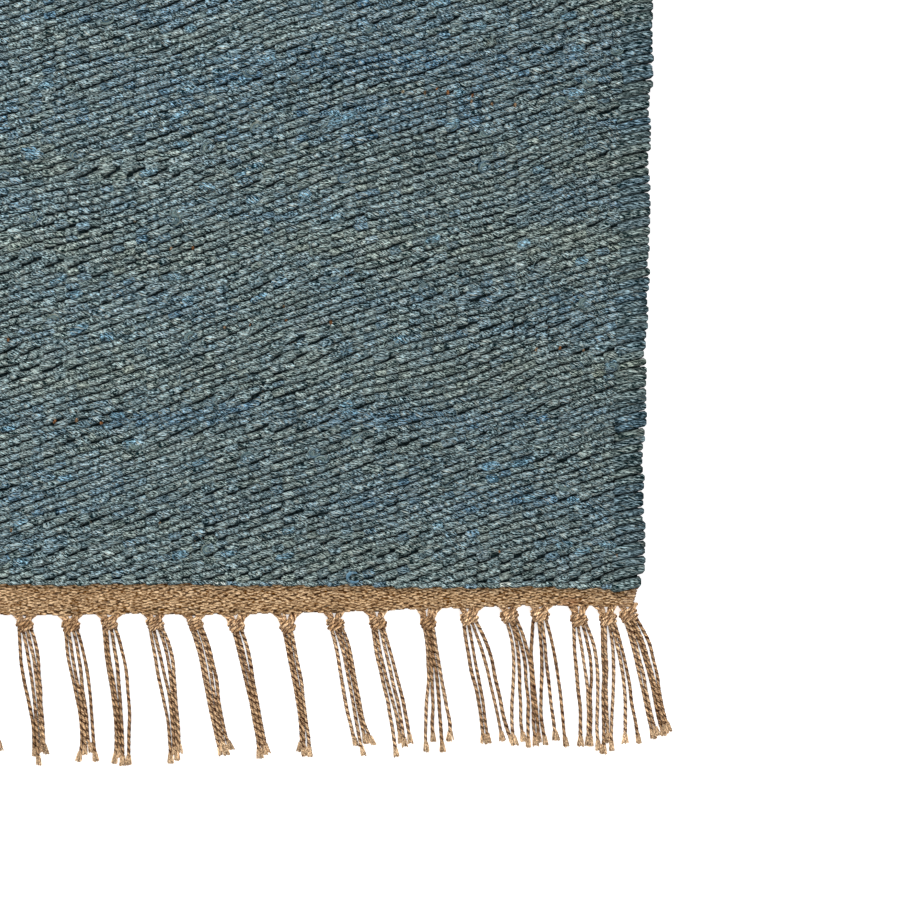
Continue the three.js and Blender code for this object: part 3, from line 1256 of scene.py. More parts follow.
@dataclass
class Turns:
    """Weft that turns round the last warp of a right-hand edge, one turn for each place.

    edge is how far out each one reaches and y its middle along the rug. tall is half how tall it is there,
    lean how much it slants against the others, droop how far its rim hangs down, and dye its colour.
    thickness is the cloth's, yarn half the yarn's own, reach how far in its ends lie, and sag how much lower
    they lie than its rim.
    """

    ROUND: ClassVar[float] = 3.1

    edge: np.ndarray
    y: np.ndarray
    tall: np.ndarray
    lean: np.ndarray
    droop: np.ndarray
    dye: np.ndarray
    thickness: float
    yarn: float
    reach: float
    sag: float

    def _profile(self) -> tuple[np.ndarray, np.ndarray]:
        """The way of a turn from the upper face round the rim to the under face.

        Returns:
            How far in from the rim, and how high above the cloth's middle, each point lies.
        """
        bend = self.thickness / 2 - self.yarn
        angle = np.radians([62.0, 24.0, -24.0, -62.0])
        back = (self.yarn + bend) - bend * np.cos(angle)
        lift = bend * np.sin(angle)
        ends = np.array([self.reach, self.reach * 0.87, self.reach * 0.5])
        rise = np.array([bend * 0.6, bend * 0.96, bend * 1.06])
        back = np.concatenate([ends, back[:2], [self.yarn], back[2:], ends[::-1]])
        lift = np.concatenate([rise, lift[:2], [0.0], lift[2:], -rise[::-1]])
        return back, lift

    def yarns(self, rng: np.random.Generator) -> Yarns:
        """Builds them.

        Args:
            rng: the source of their small differences and their grain.

        Returns:
            The turns.
        """
        back, lift = self._profile()
        template = Template(len(back) - 2, 6, closed=True)
        count = len(self.y)
        back = back[None, :] * (1.0 + rng.uniform(-0.04, 0.12, (count, 1)) * (back / self.reach)[None, :])
        down = self.sag * (back / self.reach) ** 1.35
        fall = np.exp(-back / (self.yarn * 1.2))
        x = self.edge[:, None] - back
        y = self.y[:, None] - down * self.lean[:, None] - fall * self.droop[:, None]
        z = np.broadcast_to(self.thickness / 2 + lift, x.shape)
        spine = np.stack([x, y + self.sag * 0.4, z], -1)
        slim = np.array([0.92] + [1.0] * (template.rings - 2) + [0.92])
        across = self.yarn * slim[None, :] * rng.uniform(0.92, 1.0, (count, 1))
        shape = tubes(template, spine, across, self.tall[:, None] * slim, ref=ALONG_RUG)
        # Painted shade: darker where a turn touches the turns beside it, and towards its rim, a dark line
        # along the edge.
        turned = np.arange(template.sides) * 2 * math.pi / template.sides
        sides = 0.85 * np.abs(np.cos(turned)) ** 3
        rim = np.interp(back[:, 1:-1], [0.0, self.yarn * 0.9, self.yarn * 2.4], [0.9, 0.5, 0.0])
        painted_shade = np.clip(sides + rim[..., None], 0, 1).reshape(count, -1)
        painted_shade = np.concatenate([painted_shade, np.full((count, 2), 0.9)], axis=1)
        return Yarns.drawn(rng, template, shape, self.ROUND * (self.tall + self.yarn), painted_shade, self.dye)


@dataclass
class Selvedge:
    """The long edges, where each weft turns round the last warp and back.

    floats are those of the upper face, inset is how far in the outermost warps lie, and sag how much lower
    than its rim a turn meets them.
    """

    outline: Outline
    floats: Lenses
    inset: float
    sag: float = 4.4

    def turns(self, side: Side, seed: int) -> Yarns:
        """Makes one edge's turns of weft, each of which carries on an outermost float.

        Args:
            side: the edge.
            seed: the seed of its random numbers.

        Returns:
            The turns.
        """
        rng = np.random.default_rng(seed)
        x, y = side.value * self.floats.x, side.value * self.floats.y
        left, right = self.outline.sides(self.floats.y)
        edge = right if side is Side.RIGHT else -left
        outermost = np.flatnonzero(edge - x < self.inset + RIM)
        order = outermost[np.argsort(y[outermost])]
        count = len(order)
        height = np.gradient(y[order])
        bunch = np.cumsum(rng.random(count) < 0.62)
        lean = rng.uniform(0.7, 1.25, count)
        jut = rng.uniform(-1.0, 0.8, count + 1)[bunch] + rng.uniform(-0.35, 0.35, count)
        corner = np.clip(1.0 - (HALF_LENGTH - np.abs(y[order])) / 5.0, 0.0, 1.0)
        made = Turns(
            edge=edge[order] + 0.9 + jut - 3.2 * corner**2,
            y=y[order] + self.sag * (lean * 0.62 - 0.4) + 1.5 * np.sign(y[order]) * corner,
            tall=height / 2 * rng.uniform(0.98, 1.12, count),
            lean=lean,
            droop=rng.uniform(-0.4, 0.6, count),
            dye=self.floats.dye[order] * rng.uniform(0.85, 1.02, (count, 1)),
            thickness=FIELD_THICKNESS,
            yarn=1.5,
            reach=self.inset + 9.4,
            sag=self.sag,
        ).yarns(rng)
        return made.moved(side.place)

    def build(self, finish: bpy.types.Material) -> list[bpy.types.Object]:
        """Builds both edges in a finish, and returns their pieces."""
        return [
            make_piece(f"selvedge_{side.name.lower()}", [self.turns(side, seed)], finish)
            for seed, side in ((41, Side.RIGHT), (42, Side.LEFT))
        ]


# Each knot's place across the front end and its drop below the heading. Then, for each warp end below it:
# how far aside it lies 17 mm and 39 mm below the knot and at its tip, and how far below its tip is.
TASSELS = (
    (-42.7, 3.9, (
        (-2.1, 1.5, 5.5, 73.0), (1.4, 5.1, 7.5, 78.0), (4.4, 7.5, 8.8, 71.0), (7.2, 8.8, 12.2, 72.0),
    )),
    (-17.4, 4.2, (
        (-1.3, 3.4, 4.2, 75.6), (0.9, 5.4, 7.6, 71.7), (4.3, 6.5, 11.8, 70.7), (7.3, 10.8, 13.8, 75.6),
    )),
    (3.6, 3.8, (
        (-1.3, 2.2, 2.7, 77.7), (0.0, 3.4, 4.9, 74.8), (3.5, 5.9, 7.6, 78.8), (7.5, 10.5, 10.9, 78.6),
    )),
    (28.9, 3.9, (
        (-0.4, 4.1, 8.7, 77.6), (2.4, 7.5, 10.2, 73.0), (6.6, 9.9, 12.9, 75.9), (8.9, 11.5, 13.5, 72.0),
    )),
    (50.9, 3.7, (
        (2.6, 7.4, 14.9, 73.4), (4.2, 8.4, 16.2, 71.0), (6.6, 10.7, 18.0, 72.8), (8.8, 12.8, 20.0, 70.0),
    )),
    (73.4, 4.7, (
        (2.3, 7.5, 13.6, 73.9), (4.4, 9.6, 15.1, 71.9), (7.2, 10.7, 17.8, 70.9),
    )),
    (101.5, 5.7, (
        (1.1, 5.6, 7.0, 69.6), (3.2, 7.2, 9.4, 72.0), (5.0, 8.9, 12.2, 72.3),
    )),
    (127.9, 5.1, (
        (1.4, 5.2, 11.3, 68.1), (4.6, 9.6, 15.5, 73.3), (6.5, 11.0, 17.4, 66.7), (8.8, 12.6, 21.1, 67.7),
    )),
    (151.2, 5.4, (
        (-0.5, 4.4, 10.3, 74.5), (1.7, 7.2, 12.7, 67.1), (5.0, 10.1, 15.2, 69.0), (7.1, 13.1, 18.4, 67.1),
    )),
    (178.8, 6.3, (
        (0.3, -0.1, -0.3, 71.8), (1.8, 2.7, 3.2, 66.2), (3.2, 5.9, 8.1, 71.8), (5.0, 9.4, 12.5, 65.9),
    )),
    (201.3, 4.3, (
        (-0.7, 3.9, 8.4, 70.0), (2.6, 6.5, 10.7, 69.5), (6.7, 12.8, 18.8, 68.5), (10.4, 16.0, 24.4, 70.0),
    )),
    (223.4, 3.7, (
        (1.9, 2.3, 3.2, 72.0), (4.7, 6.2, 8.6, 70.0), (6.8, 10.0, 11.3, 73.0), (9.5, 12.6, 15.5, 72.5),
    )),
    (240.1, 3.7, (
        (-4.1, -2.7, -0.5, 71.0), (1.1, 1.1, 3.5, 72.2), (3.2, 5.7, 9.2, 69.8), (7.4, 10.9, 15.1, 73.3),
    )),
    (261.7, 6.4, (
        (-1.9, -0.1, 0.8, 70.3), (1.8, 5.0, 4.5, 70.0), (5.7, 6.7, 6.5, 70.3), (8.8, 10.9, 10.7, 72.5),
    )),
    (277.5, 5.8, (
        (-2.2, -1.9, -2.1, 75.2), (-1.0, -0.6, 0.4, 69.0), (3.0, 3.1, 2.6, 73.3), (6.0, 9.3, 10.0, 69.4),
        (8.0, 12.4, 17.5, 69.4),
    )),
    (288.8, 3.8, (
        (2.7, 7.7, 13.9, 68.9), (4.4, 9.4, 16.6, 67.4), (7.2, 13.3, 19.3, 67.3), (8.6, 14.5, 21.5, 66.0),
        (11.9, 16.8, 22.7, 64.9),
    )),
)

# The tassels beyond the part that shows: the knot's place and drop, how far aside the middle of the tassel
# lies at its tip and how much it bows on the way, its reach from the heading and its tips' spread.
HIDDEN_TASSELS = (
    (-285.5, 4.1, -9.5, -1.4, 73.5, 5.2),
    (-264.0, 4.8, -4.0, 0.6, 76.0, 6.1),
    (-243.0, 3.9, 3.5, 1.2, 77.5, 4.2),
    (-221.0, 5.2, 6.0, 1.8, 75.0, 3.4),
    (-199.5, 4.4, 2.5, 0.8, 78.0, 5.6),
    (-177.5, 3.8, 9.0, 2.2, 76.5, 3.0),
    (-155.0, 5.0, 12.0, 1.6, 74.5, 4.4),
    (-133.5, 4.2, 7.5, 2.0, 79.0, 2.8),
    (-111.0, 4.6, 10.5, 1.2, 77.0, 5.0),
    (-88.0, 3.9, 13.0, 0.7, 75.5, 3.6),
    (-65.5, 5.3, 4.6, 0.9, 76.0, 3.2),
)

# How far below the heading a knot's drop begins, how far apart the strands of a tassel keep, and how far
# below a knot their places are given.
KNOT_GAP = 0.3
STRAND_GAP = 1.5
BELOW = (17.0, 39.0)

# The wraps of a knot: each one's level, its share of the knot's width and its shift aside.
KNOT_WRAPS = (
    (-1.6, 0.85, 1.1),
    (-0.7, 1.08, 0.8),
    (0.25, 1.06, -0.1),
    (1.1, 0.86, -0.7),
)


@dataclass(frozen=True)
class Strand:
    """One warp end below its knot: how far aside it lies near it, midway and at its tip, and its reach."""

    near: float
    mid: float
    tip: float
    reach: float


@dataclass(frozen=True)
class Tassel:
    """A bunch of warp ends in one knot, with its place across the rug and its drop below the heading."""

    at: float
    drop: float
    strands: tuple[Strand, ...]

    @classmethod
    def spray(
        cls,
        rng: np.random.Generator,
        at: float,
        drop: float,
        lean: float,
        bow: float,
        reach: float,
        spread: float,
    ) -> "Tassel":
        """A tassel known only by its middle line and its tips' spread.

        Args:
            rng: the source of its random numbers.
            at: the knot's place across the rug.
            drop: the knot's distance from the heading.
            lean: how far aside its middle lies at the tips.
            bow: how far its middle bows on the way.
            reach: how far its tips are from the heading.
            spread: how wide apart its tips are.

        Returns:
            The tassel, with three to five strands.
        """
        count = int(rng.integers(3, 6))
        strands = []
        for share in np.linspace(-1.0, 1.0, count):
            tip = lean + share * (spread + 1.5) / 2 + 1.4 * (count - 3) * share + rng.uniform(-0.8, 0.8)
            near = 0.22 * lean + 0.7 * bow + share * 3.0 + rng.uniform(-0.5, 0.5)
            mid = 0.5 * lean + bow + share * 3.2 + rng.uniform(-0.7, 0.7)
            strands.append(Strand(near, mid, tip, reach - drop + rng.uniform(-4.0, 2.0)))
        return cls(at, drop, tuple(strands))


def all_tassels() -> tuple[Tassel, ...]:
    """Puts together the tassels of one end.

    Returns:
        The tassels, from left to right.
    """
    rng = np.random.default_rng(60)
    hidden = [Tassel.spray(rng, *row) for row in HIDDEN_TASSELS]
    shown = [Tassel(at, drop, tuple(Strand(*row) for row in rows)) for at, drop, rows in TASSELS]
    return tuple(hidden + shown)


@dataclass
class Heading:
    """The plain band of undyed weft that closes one end of the field.

    columns is how many floats lie side by side across the rug, and rows how many lie above one another. base
    is how high their edges lie, and arch how much the outer edge lifts between two knots. light and brown
    are the two colours of its yarn, turned the colour of its turns, and stain the place of the brown stain.
    """

    outline: Outline
    tassels: tuple[Tassel, ...]
    columns: int = 190
    rows: int = 12
    base: float = 3.0
    arch: float = 0.7
    light: Colour = screen(198, 161, 114)
    brown: Colour = screen(187, 148, 100)
    turned: Colour = screen(158, 126, 92)
    stain: Spot = (257.0, -443.5)

    def _arched(self, x: np.ndarray) -> np.ndarray:
        """Finds how much the outer edge lifts between two knots.

        Args:
            x: places across the rug.

        Returns:
            The lift at each place.
        """
        knots = np.array([-302.0] + [tassel.at for tassel in self.tassels] + [302.0])
        place = np.clip(np.searchsorted(knots, x), 1, len(knots) - 1)
        share = (x - knots[place - 1]) / (knots[place] - knots[place - 1])
        return self.arch * (np.sin(math.pi * share) ** 2 - 0.35)

    @staticmethod
    def _row_height(x: np.ndarray) -> np.ndarray:
        """How tall a row is, less where the band is slimmer."""
        return np.interp(x, [-HEADING_HALF_WIDTH, 60.0, HEADING_HALF_WIDTH], [1.72, 1.70, 1.50])

    def floats(self, face: Face, seed: int, end: End) -> Lenses:
        """Lays out one face's floats.

        Args:
            face: the face that they show on.
            seed: the seed of their random numbers.
            end: the end of the rug.

        Returns:
            The floats, in the coordinates of an upper face of the front end.
        """
        rng = np.random.default_rng(seed)
        column, row = np.meshgrid(np.arange(self.columns), np.arange(-1, self.rows + 1), indexing="ij")
        count = column.shape
        x = (column + 0.5) / self.columns * 2 * HEADING_HALF_WIDTH - HEADING_HALF_WIDTH
        side = x * face.value
        height = self._row_height(side)
        sway = 0.28 * along_yarns(rng, self.rows + 2, self.columns, 9.0).T
        aside = 1.5 * along_yarns(rng, self.rows + 2, self.columns, 9.0).T
        low = -HALF_LENGTH - self.outline.depth(x, face)
        lift = self._arched(side) * np.clip(1.0 - row / 5.0, 0.0, 1.0)
        y = low + (row + 0.5 + 0.5 * (column % 2)) * height + lift + sway * np.clip(row / 2.0, 0.0, 1.0)
        inside = (row + 0.5 * (column % 2) >= 0) & (y > low + lift + 0.35)
        shown = inside & (y < -HALF_LENGTH + 2.2 + heading_rise(side))
        dye = self._dye(rng, x, y, face is Face.UPPER and end is End.FRONT)
        limit = HEADING_HALF_WIDTH - 4.0 + np.clip((y - low) / 13.0, 0.0, 1.0) * 2.4
        return Lenses(
            x=np.clip(x + rng.uniform(-0.6, 0.6, count) + aside, -limit, limit)[shown],
            y=(y + rng.uniform(-0.08, 0.08, count))[shown],
            tilt=np.radians(rng.normal(0.6, 1.5, count))[shown],
            half=(2.3 * rng.uniform(0.88, 1.14, count))[shown],
            width=(height * rng.uniform(1.02, 1.16, count))[shown],
            crest=(HEADING_THICKNESS - 0.2 * rng.uniform(0.0, 1.0, count))[shown],
            base=self.base,
            dye=dye[shown],
            tip=0.95,
        )

    def _dye(self, rng: np.random.Generator, x: np.ndarray, y: np.ndarray, stained: bool) -> np.ndarray:
        """The colour of the undyed weft, with painted shade above some knots.

        Args:
            rng: the source of its random numbers.
            x: each place's distance across the rug.
            y: each place's distance along it.
            stained: whether this is the face that has the stain.

        Returns:
            Linear colours, in the shape of x with three channels.
        """
        share = (0.5 + 0.5 * along_yarns(rng, x.shape[1], x.shape[0], 12.0).T)[..., None]
        dye = np.array(self.light) * share + np.array(self.brown) * (1 - share)
        # Darker towards the right edge.
        dye = dye * (rng.uniform(0.96, 1.04, x.shape) * np.interp(x, [-60.0, 294.0], [1.0, 0.92]))[..., None]
        # Painted shade above some of the knots.
        for tassel in self.tassels:
            near = np.exp(-(((x - tassel.at) / 2.6) ** 2) - ((y + HALF_LENGTH + 13.4) / 1.8) ** 2)
            dye = dye * (1 - rng.choice([0.0, 0.45, 0.65]) * near)[..., None]
        if stained:
            near = np.exp(-(((x - self.stain[0]) / 6.0) ** 2) - ((y - self.stain[1]) / 2.4) ** 2)[..., None]
            dye = dye * (1 - 0.55 * near * np.array([0.55, 0.85, 1.0]))
        return dye

    def _turns(self, side: Side, seed: int) -> Yarns:
        """Makes the weft's turns at one side of the band.

        Args:
            side: the side.
            seed: the seed of their random numbers.

        Returns:
            The turns, in the coordinates of the front end.
        """
        rng = np.random.default_rng(seed)
        at = np.array([side.value * HEADING_HALF_WIDTH])
        depth = float(self.outline.depth(at)[0])
        count = int(round(depth / self._row_height(at)[0]))
        tall = depth / count
        y = -HALF_LENGTH - depth + (np.arange(count) + 0.5) * tall
        dye = np.array(self.turned) * rng.uniform(0.8, 1.15, (count, 1))
        made = Turns(
            edge=HEADING_HALF_WIDTH + np.linspace(-2.4, 1.6, count) + rng.uniform(-0.4, 0.3, count),
            y=y * side.value,
            tall=np.full(count, tall / 2) * rng.uniform(0.95, 1.1, count),
            lean=rng.uniform(-0.5, 0.9, count),
            droop=rng.uniform(-0.2, 0.5, count),
            dye=dye,
            thickness=HEADING_THICKNESS,
            yarn=0.9,
            reach=6.5,
            sag=0.5,
        ).yarns(rng)
        return made.moved(side.place)

    def _core(self) -> Yarns:
        """Makes the dense middle of the band.

        Returns:
            The core, as one block.
        """
        x = np.linspace(-1.0, 1.0, 40) * (HEADING_HALF_WIDTH - 1.6)
        outer = -HALF_LENGTH - self.outline.depth(x) + 1.0
        inner = np.full(x.shape, -HALF_LENGTH + 0.2)
        low, high = 1.1, HEADING_THICKNESS - 1.1
        middle = (x, (outer + inner) / 2, HEADING_THICKNESS / 2)
        ring = [(x, inner, high), (x, outer, high), (x, outer, low), (x, inner, low), middle]
        return filling(x, ring, 30.0, screen(118, 90, 62), 5.0)

    def build(
        self,
        end: End,
        finish: bpy.types.Material,
        fringe: list[bpy.types.Object],
    ) -> list[bpy.types.Object]:
        """Builds the band at one end.

        Args:
            end: the end of the rug.
            finish: the finish of the undyed weft.
            fringe: not used.

        Returns:
            The weft and the core.
        """
        seed = 50 if end is End.FRONT else 55
        upper = self.floats(Face.UPPER, seed, end).yarns(np.random.default_rng(seed + 100), 5)
        under = self.floats(Face.UNDER, seed + 1, end).yarns(np.random.default_rng(seed + 101), 3)
        under = under.moved(lambda points: Face.UNDER.place(points, HEADING_THICKNESS))
        rims = [self._turns(side, seed + 2 + number) for number, side in enumerate(Side)]
        groups = [group.moved(end.place) for group in (upper, under, *rims)]
        weft = make_piece(f"heading_weft_{end.label}", groups, finish)
        core = make_piece(f"heading_core_{end.label}", [self._core().moved(end.place)], finish)
        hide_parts(f"heading_{end.label}")
        return [weft, core]


@dataclass
class Fringe:
    """The warp ends beyond one heading, gathered and knotted in tassels.

    rings is how many rings a strand has, and flare how long the brushed fibres at its tip are. ply_turn is
    the length in which its plies go once round. floor_gap is how far strands lie above the floor, and
    knot_middle how high the middle of a knot is. light and brown are the two ends of its colours.
    """

    SIDES: ClassVar[int] = 6
    LOWEST: ClassVar[float] = 0.02
    STRAND_ROUND: ClassVar[float] = 5.6
    WRAP_ROUND: ClassVar[float] = 6.4

    outline: Outline
    tassels: tuple[Tassel, ...]
    rings: int = 66
    flare: float = 4.5
    ply_turn: float = 8.0
    floor_gap: float = 0.06
    knot_middle: float = 2.9
    light: Colour = screen(226, 188, 144)
    brown: Colour = screen(182, 142, 100)
    brushed: Colour = screen(206, 182, 150)

    def _edge(self, x: float) -> float:
        """Where the heading's outer edge runs."""
        return float(-HALF_LENGTH - self.outline.depth(np.array([x]))[0])

    def _knot(self, tassel: Tassel) -> float:
        """How far along the rug a tassel's knot lies."""
        return self._edge(tassel.at) - KNOT_GAP - tassel.drop

    def _colour(self, rng: np.random.Generator, count: int) -> np.ndarray:
        """A colour for each of some strands."""
        share = rng.uniform(0.0, 1.0, (count, 1))
        return np.array(self.light) * share + np.array(self.brown) * (1 - share)

    def _twist(self, spine: np.ndarray) -> np.ndarray:
        """How far the plies have turned at each ring, in radians."""
        steps = np.linalg.norm(np.diff(spine, axis=1), axis=2)
        return np.cumsum(steps, axis=1)[:, :-1] * 2 * math.pi / self.ply_turn

    def _down(self, strand: Strand) -> np.ndarray:
        """How far below its knot each point of a strand lies."""
        return np.linspace(0.0, strand.reach - self.flare, self.rings + 2)

    @staticmethod
    def _kept_apart(paths: np.ndarray) -> np.ndarray:
        """Pushes a tassel's strands aside where they would run into each other.

        Args:
            paths: how far aside each strand lies on its way down, from left to right.

        Returns:
            The same, at least a yarn apart.
        """
        kept = paths.copy()
        for _ in range(12):
            gap = np.diff(kept, axis=0)
            push = np.where(gap < STRAND_GAP, STRAND_GAP - gap, 0.0) / 2
            kept[:-1] -= push * 0.9
            kept[1:] += push * 0.9
        return kept

    @staticmethod
    def _spacing(paths: np.ndarray, rank: int) -> np.ndarray:
        """How far a strand lies from the nearest one beside it, on its way down."""
        gaps = np.diff(paths, axis=0)
        return np.min(gaps[max(rank - 1, 0) : rank + 1], axis=0)

    def _paths(self, rng: np.random.Generator, at: float, strands: list[Strand]) -> np.ndarray:
        """Lays a tassel's strands out beside one another.

        Args:
            rng: the source of their random numbers.
            at: the knot's place across the rug.
            strands: the strands, from left to right.

        Returns:
            How far aside each strand lies on its way down.
        """
        count = len(strands)
        paths = []
        for rank, strand in enumerate(strands):
            start = (rank - (count - 1) / 2) * min(1.9, 7.0 / count)
            aside = [start, strand.near, strand.mid, strand.tip]
            curve = np.polyfit([0.0, *BELOW, strand.reach], aside, 3)
            down = self._down(strand)
            wander = along_yarns(rng, 1, len(down), 11.0)[0] * np.clip(down / 20.0, 0.0, 1.0)
            paths.append(at + np.polyval(curve, down) + 0.4 * wander)
        return self._kept_apart(np.array(paths))

    def strands(self, rng: np.random.Generator) -> tuple[Yarns, np.ndarray]:
        """Makes the twisted ends below the knots.

        Args:
            rng: the source of their random numbers.

        Returns:
            The strands, and each one's last two points.
        """
        template = Template(self.rings, self.SIDES, closed=True)
        spines, thick = [], []
        for tassel in self.tassels:
            base = self._knot(tassel)
            ordered = sorted(tassel.strands, key=lambda strand: strand.near)
            paths = self._paths(rng, tassel.at, ordered)
            for rank, strand in enumerate(ordered):
                down = self._down(strand)
                lift = self.knot_middle * np.exp(-((down / 9.0) ** 2))
                wave = 0.35 * np.abs(along_yarns(rng, 1, len(down), 14.0)[0]) * np.clip(down / 20.0, 0.0, 1.0)
                size = rng.uniform(1.03, 1.18)
                over = 0.85 * np.sqrt(np.clip(2.15**2 - self._spacing(paths, rank) ** 2, 0.0, None))
                z = np.maximum(size + self.floor_gap, lift) + wave + (rank % 2) * over
                spines.append(np.stack([paths[rank], base - down, z], -1))
                thick.append(size)
        spine = np.stack(spines)
        count = len(spine)
        size = np.array(thick)[:, None] * (1.0 + 0.08 * along_yarns(rng, count, self.rings, 9.0))
        turn = self._twist(spine) + rng.uniform(0.0, math.pi, (count, 1))
        places, along = tubes(template, spine, size * 1.04, size * 0.86, turn)
        places[..., 2] = np.maximum(places[..., 2], self.LOWEST)
        # Painted shade: darker in the grooves between the plies, towards the floor and at the sides where
        # strands touch.
        grooves = np.tile([1.0, 0.0, 0.3, 1.0, 0.0, 0.3], self.rings)[None, :]
        middle = np.repeat(spine[:, 1:-1, 2], self.SIDES, axis=1)
        above = (places[:, :-2, 2] - middle) / np.repeat(size, self.SIDES, axis=1)
        painted_shade = np.clip(np.maximum(grooves, 0.9 - 1.05 * above), 0.0, 1.0)
        painted_shade = np.concatenate([painted_shade, np.full((count, 2), 0.3)], axis=1)
        dye = self._colour(rng, count)
        girth = size.mean(1) * self.STRAND_ROUND
        return Yarns.drawn(rng, template, (places, along), girth, painted_shade, dye), spine[:, -2:]

    def brushes(self, rng: np.random.Generator, tips: np.ndarray, dye: np.ndarray) -> Yarns:
        """Makes the untwisted fibres at the strands' cut ends.

        Args:
            rng: the source of their random numbers.
            tips: each strand's last two points.
            dye: each strand's colour.

        Returns:
            The fibres, several for each strand.
        """
        template = Template(4, 3, closed=True)
        fibres = 8
        share = np.linspace(-1.0, 1.0, fibres)[None, :] + rng.uniform(-0.2, 0.2, (len(tips), fibres))
        way = tips[:, 1] - tips[:, 0]
        fan = np.radians(rng.uniform(1.0, 6.0, (len(tips), 1)))
        heading = np.arctan2(way[:, 1], way[:, 0])[:, None] + fan * share
        length = self.flare + rng.uniform(-0.4, 0.5, share.shape)
        along = np.array([0.0, 0.03, 0.35, 0.7, 0.985, 1.0])
        start = tips[:, 1][:, None, :] + np.stack([0.8 * share, np.full(share.shape, 1.2), 0 * share], -1)
        run = (length[..., None] + 1.2) * along
        bend = 1.0 + 0.25 * rng.uniform(-1.0, 1.0, share.shape)[..., None] * along
        x = start[..., 0, None] + run * np.cos(heading)[..., None] + 0.4 * share[..., None] * bend * along
        y = start[..., 1, None] + run * np.sin(heading)[..., None]
        low = 0.45 + 0.5 * rng.uniform(0.0, 1.0, share.shape)[..., None]
        z = start[..., 2, None] * (1 - along) + low * along
        spine = np.stack([x, y, z], -1).reshape(-1, len(along), 3)
        count = len(spine)
        across = rng.uniform(0.4, 0.55, (count, 1)) * np.array([1.0, 1.0, 1.0, 0.9])
        shape = tubes(template, spine, across, across * 0.7)
        colour = np.repeat(dye, fibres, axis=0) * 0.6 + np.array(self.brushed) * 0.4
        colour = colour * rng.uniform(0.6, 1.1, (count, 1))
        return Yarns.drawn(rng, template, shape, 2.4, 0.05, colour)

    def roots(self, rng: np.random.Generator) -> Yarns:
        """Makes the warp ends between the heading and the knots.

        Args:
            rng: the source of their random numbers.

        Returns:
            The warp ends.
        """
        template = Template(8, self.SIDES, closed=True)
        knots = np.array([tassel.at for tassel in self.tassels])
        gaps = np.diff(np.concatenate([[-302.0], knots, [300.0]]))
        limit = HEADING_HALF_WIDTH - 1.0
        share = np.linspace(0.0, 1.0, template.rings + 2)[:, None]
        spines = []
        for index, tassel in enumerate(self.tassels):
            base = self._knot(tassel)
            reach = rng.uniform(4.8, 7.6, 2)
            left, right = min(reach[0], 0.46 * gaps[index]), min(reach[1], 0.46 * gaps[index + 1])
            offsets = np.linspace(-left, right, 6) + rng.uniform(-0.5, 0.5, 6)
            for number, offset in enumerate(offsets):
                x = float(np.clip(tassel.at + offset, -limit, limit))
                edge = self._edge(x)
                inner = 0.44 * offset + rng.uniform(-0.3, 0.3)
                apart = math.copysign(1.3, offset) * (1.0 if abs(offset) < 2.4 else 0.3)
                start = np.array([x + 0.35 * offset + apart * 0.4, edge + 1.9, 1.7])
                bend = np.array([tassel.at + 0.54 * offset + apart, edge + 0.1, 2.0])
                stop = np.array([tassel.at + inner, base + 0.5, 2.3 + 0.8 * (number % 3)])
                spines.append(start * (1 - share) ** 2 + 2 * bend * share * (1 - share) + stop * share**2)
        spine = np.stack(spines)
        size = rng.uniform(0.95, 1.15, (len(spine), 1))
        shape = tubes(template, spine, size * 1.1, size * 0.85, self._twist(spine))
        # Painted shade in the grooves between the plies.
        ring = [0.8, 0.15, 0.15, 0.8, 0.15, 0.15]
        painted_shade = np.concatenate([np.tile(ring, template.rings), [0.5, 0.5]])
        return Yarns.drawn(rng, template, shape, self.STRAND_ROUND, painted_shade, self._colour(rng, len(spine)))

    def knots(self, rng: np.random.Generator) -> Yarns:
        """Makes the wraps of the knots.

        Args:
            rng: the source of their random numbers.

        Returns:
            The wraps.
        """
        template = Template(14, self.SIDES, closed=True)
        angle = np.linspace(-1.0, 1.0, template.rings + 2) * math.radians(176.0)
        spines = []
        for tassel in self.tassels:
            base = self._knot(tassel)
            slope = rng.uniform(0.18, 0.42)
            wide = 1.9 + 0.38 * len(tassel.strands) + rng.uniform(-0.3, 0.4)
            for level, share, shift in KNOT_WRAPS:
                half = wide * (share + rng.uniform(-0.05, 0.05))
                rise = slope + rng.uniform(-0.1, 0.1)
                x = tassel.at + shift + half * np.sin(angle) + rng.uniform(-0.2, 0.2)
                y = base + 1.75 * level + rise * half * np.sin(angle) - 0.25 * np.abs(np.sin(angle))
                z = self.knot_middle + (1.8 - 0.1 * abs(level)) * np.cos(angle)
                spines.append(np.stack([x, y, z], -1))
        spine = np.stack(spines)
        size = rng.uniform(0.95, 1.15, (len(spine), 1))
        places, along = tubes(template, spine, size * 0.95, size * 1.1, self._twist(spine), ALONG_RUG)
        places[..., 2] = np.maximum(places[..., 2], self.LOWEST)
        # Painted shade where a wrap lies against the wraps beside it.
        ring = np.abs(np.cos(np.arange(template.sides) * 2 * math.pi / template.sides)) ** 2
        painted_shade = np.concatenate([np.tile(ring, template.rings), [0.5, 0.5]])
        dye = self._colour(rng, len(spine))
        return Yarns.drawn(rng, template, (places, along), self.WRAP_ROUND, painted_shade, dye)

    def build(self, end: End, finish: bpy.types.Material) -> list[bpy.types.Object]:
        """Builds one end's fringe.

        Args:
            end: the end of the rug.
            finish: the finish of the warp.

        Returns:
            The strands and the knots.
        """
        rng = np.random.default_rng(70 if end is End.FRONT else 75)
        strands, tips = self.strands(rng)
        brushes = self.brushes(rng, tips, strands.dye)
        below = [group.moved(end.place) for group in (strands, brushes)]
        above = [group.moved(end.place) for group in (self.knots(rng), self.roots(rng))]
        ends = make_piece(f"fringe_strands_{end.label}", below, finish)
        knots = make_piece(f"fringe_knots_{end.label}", above, finish)
        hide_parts(f"fringe_{end.label}")
        return [ends, knots]


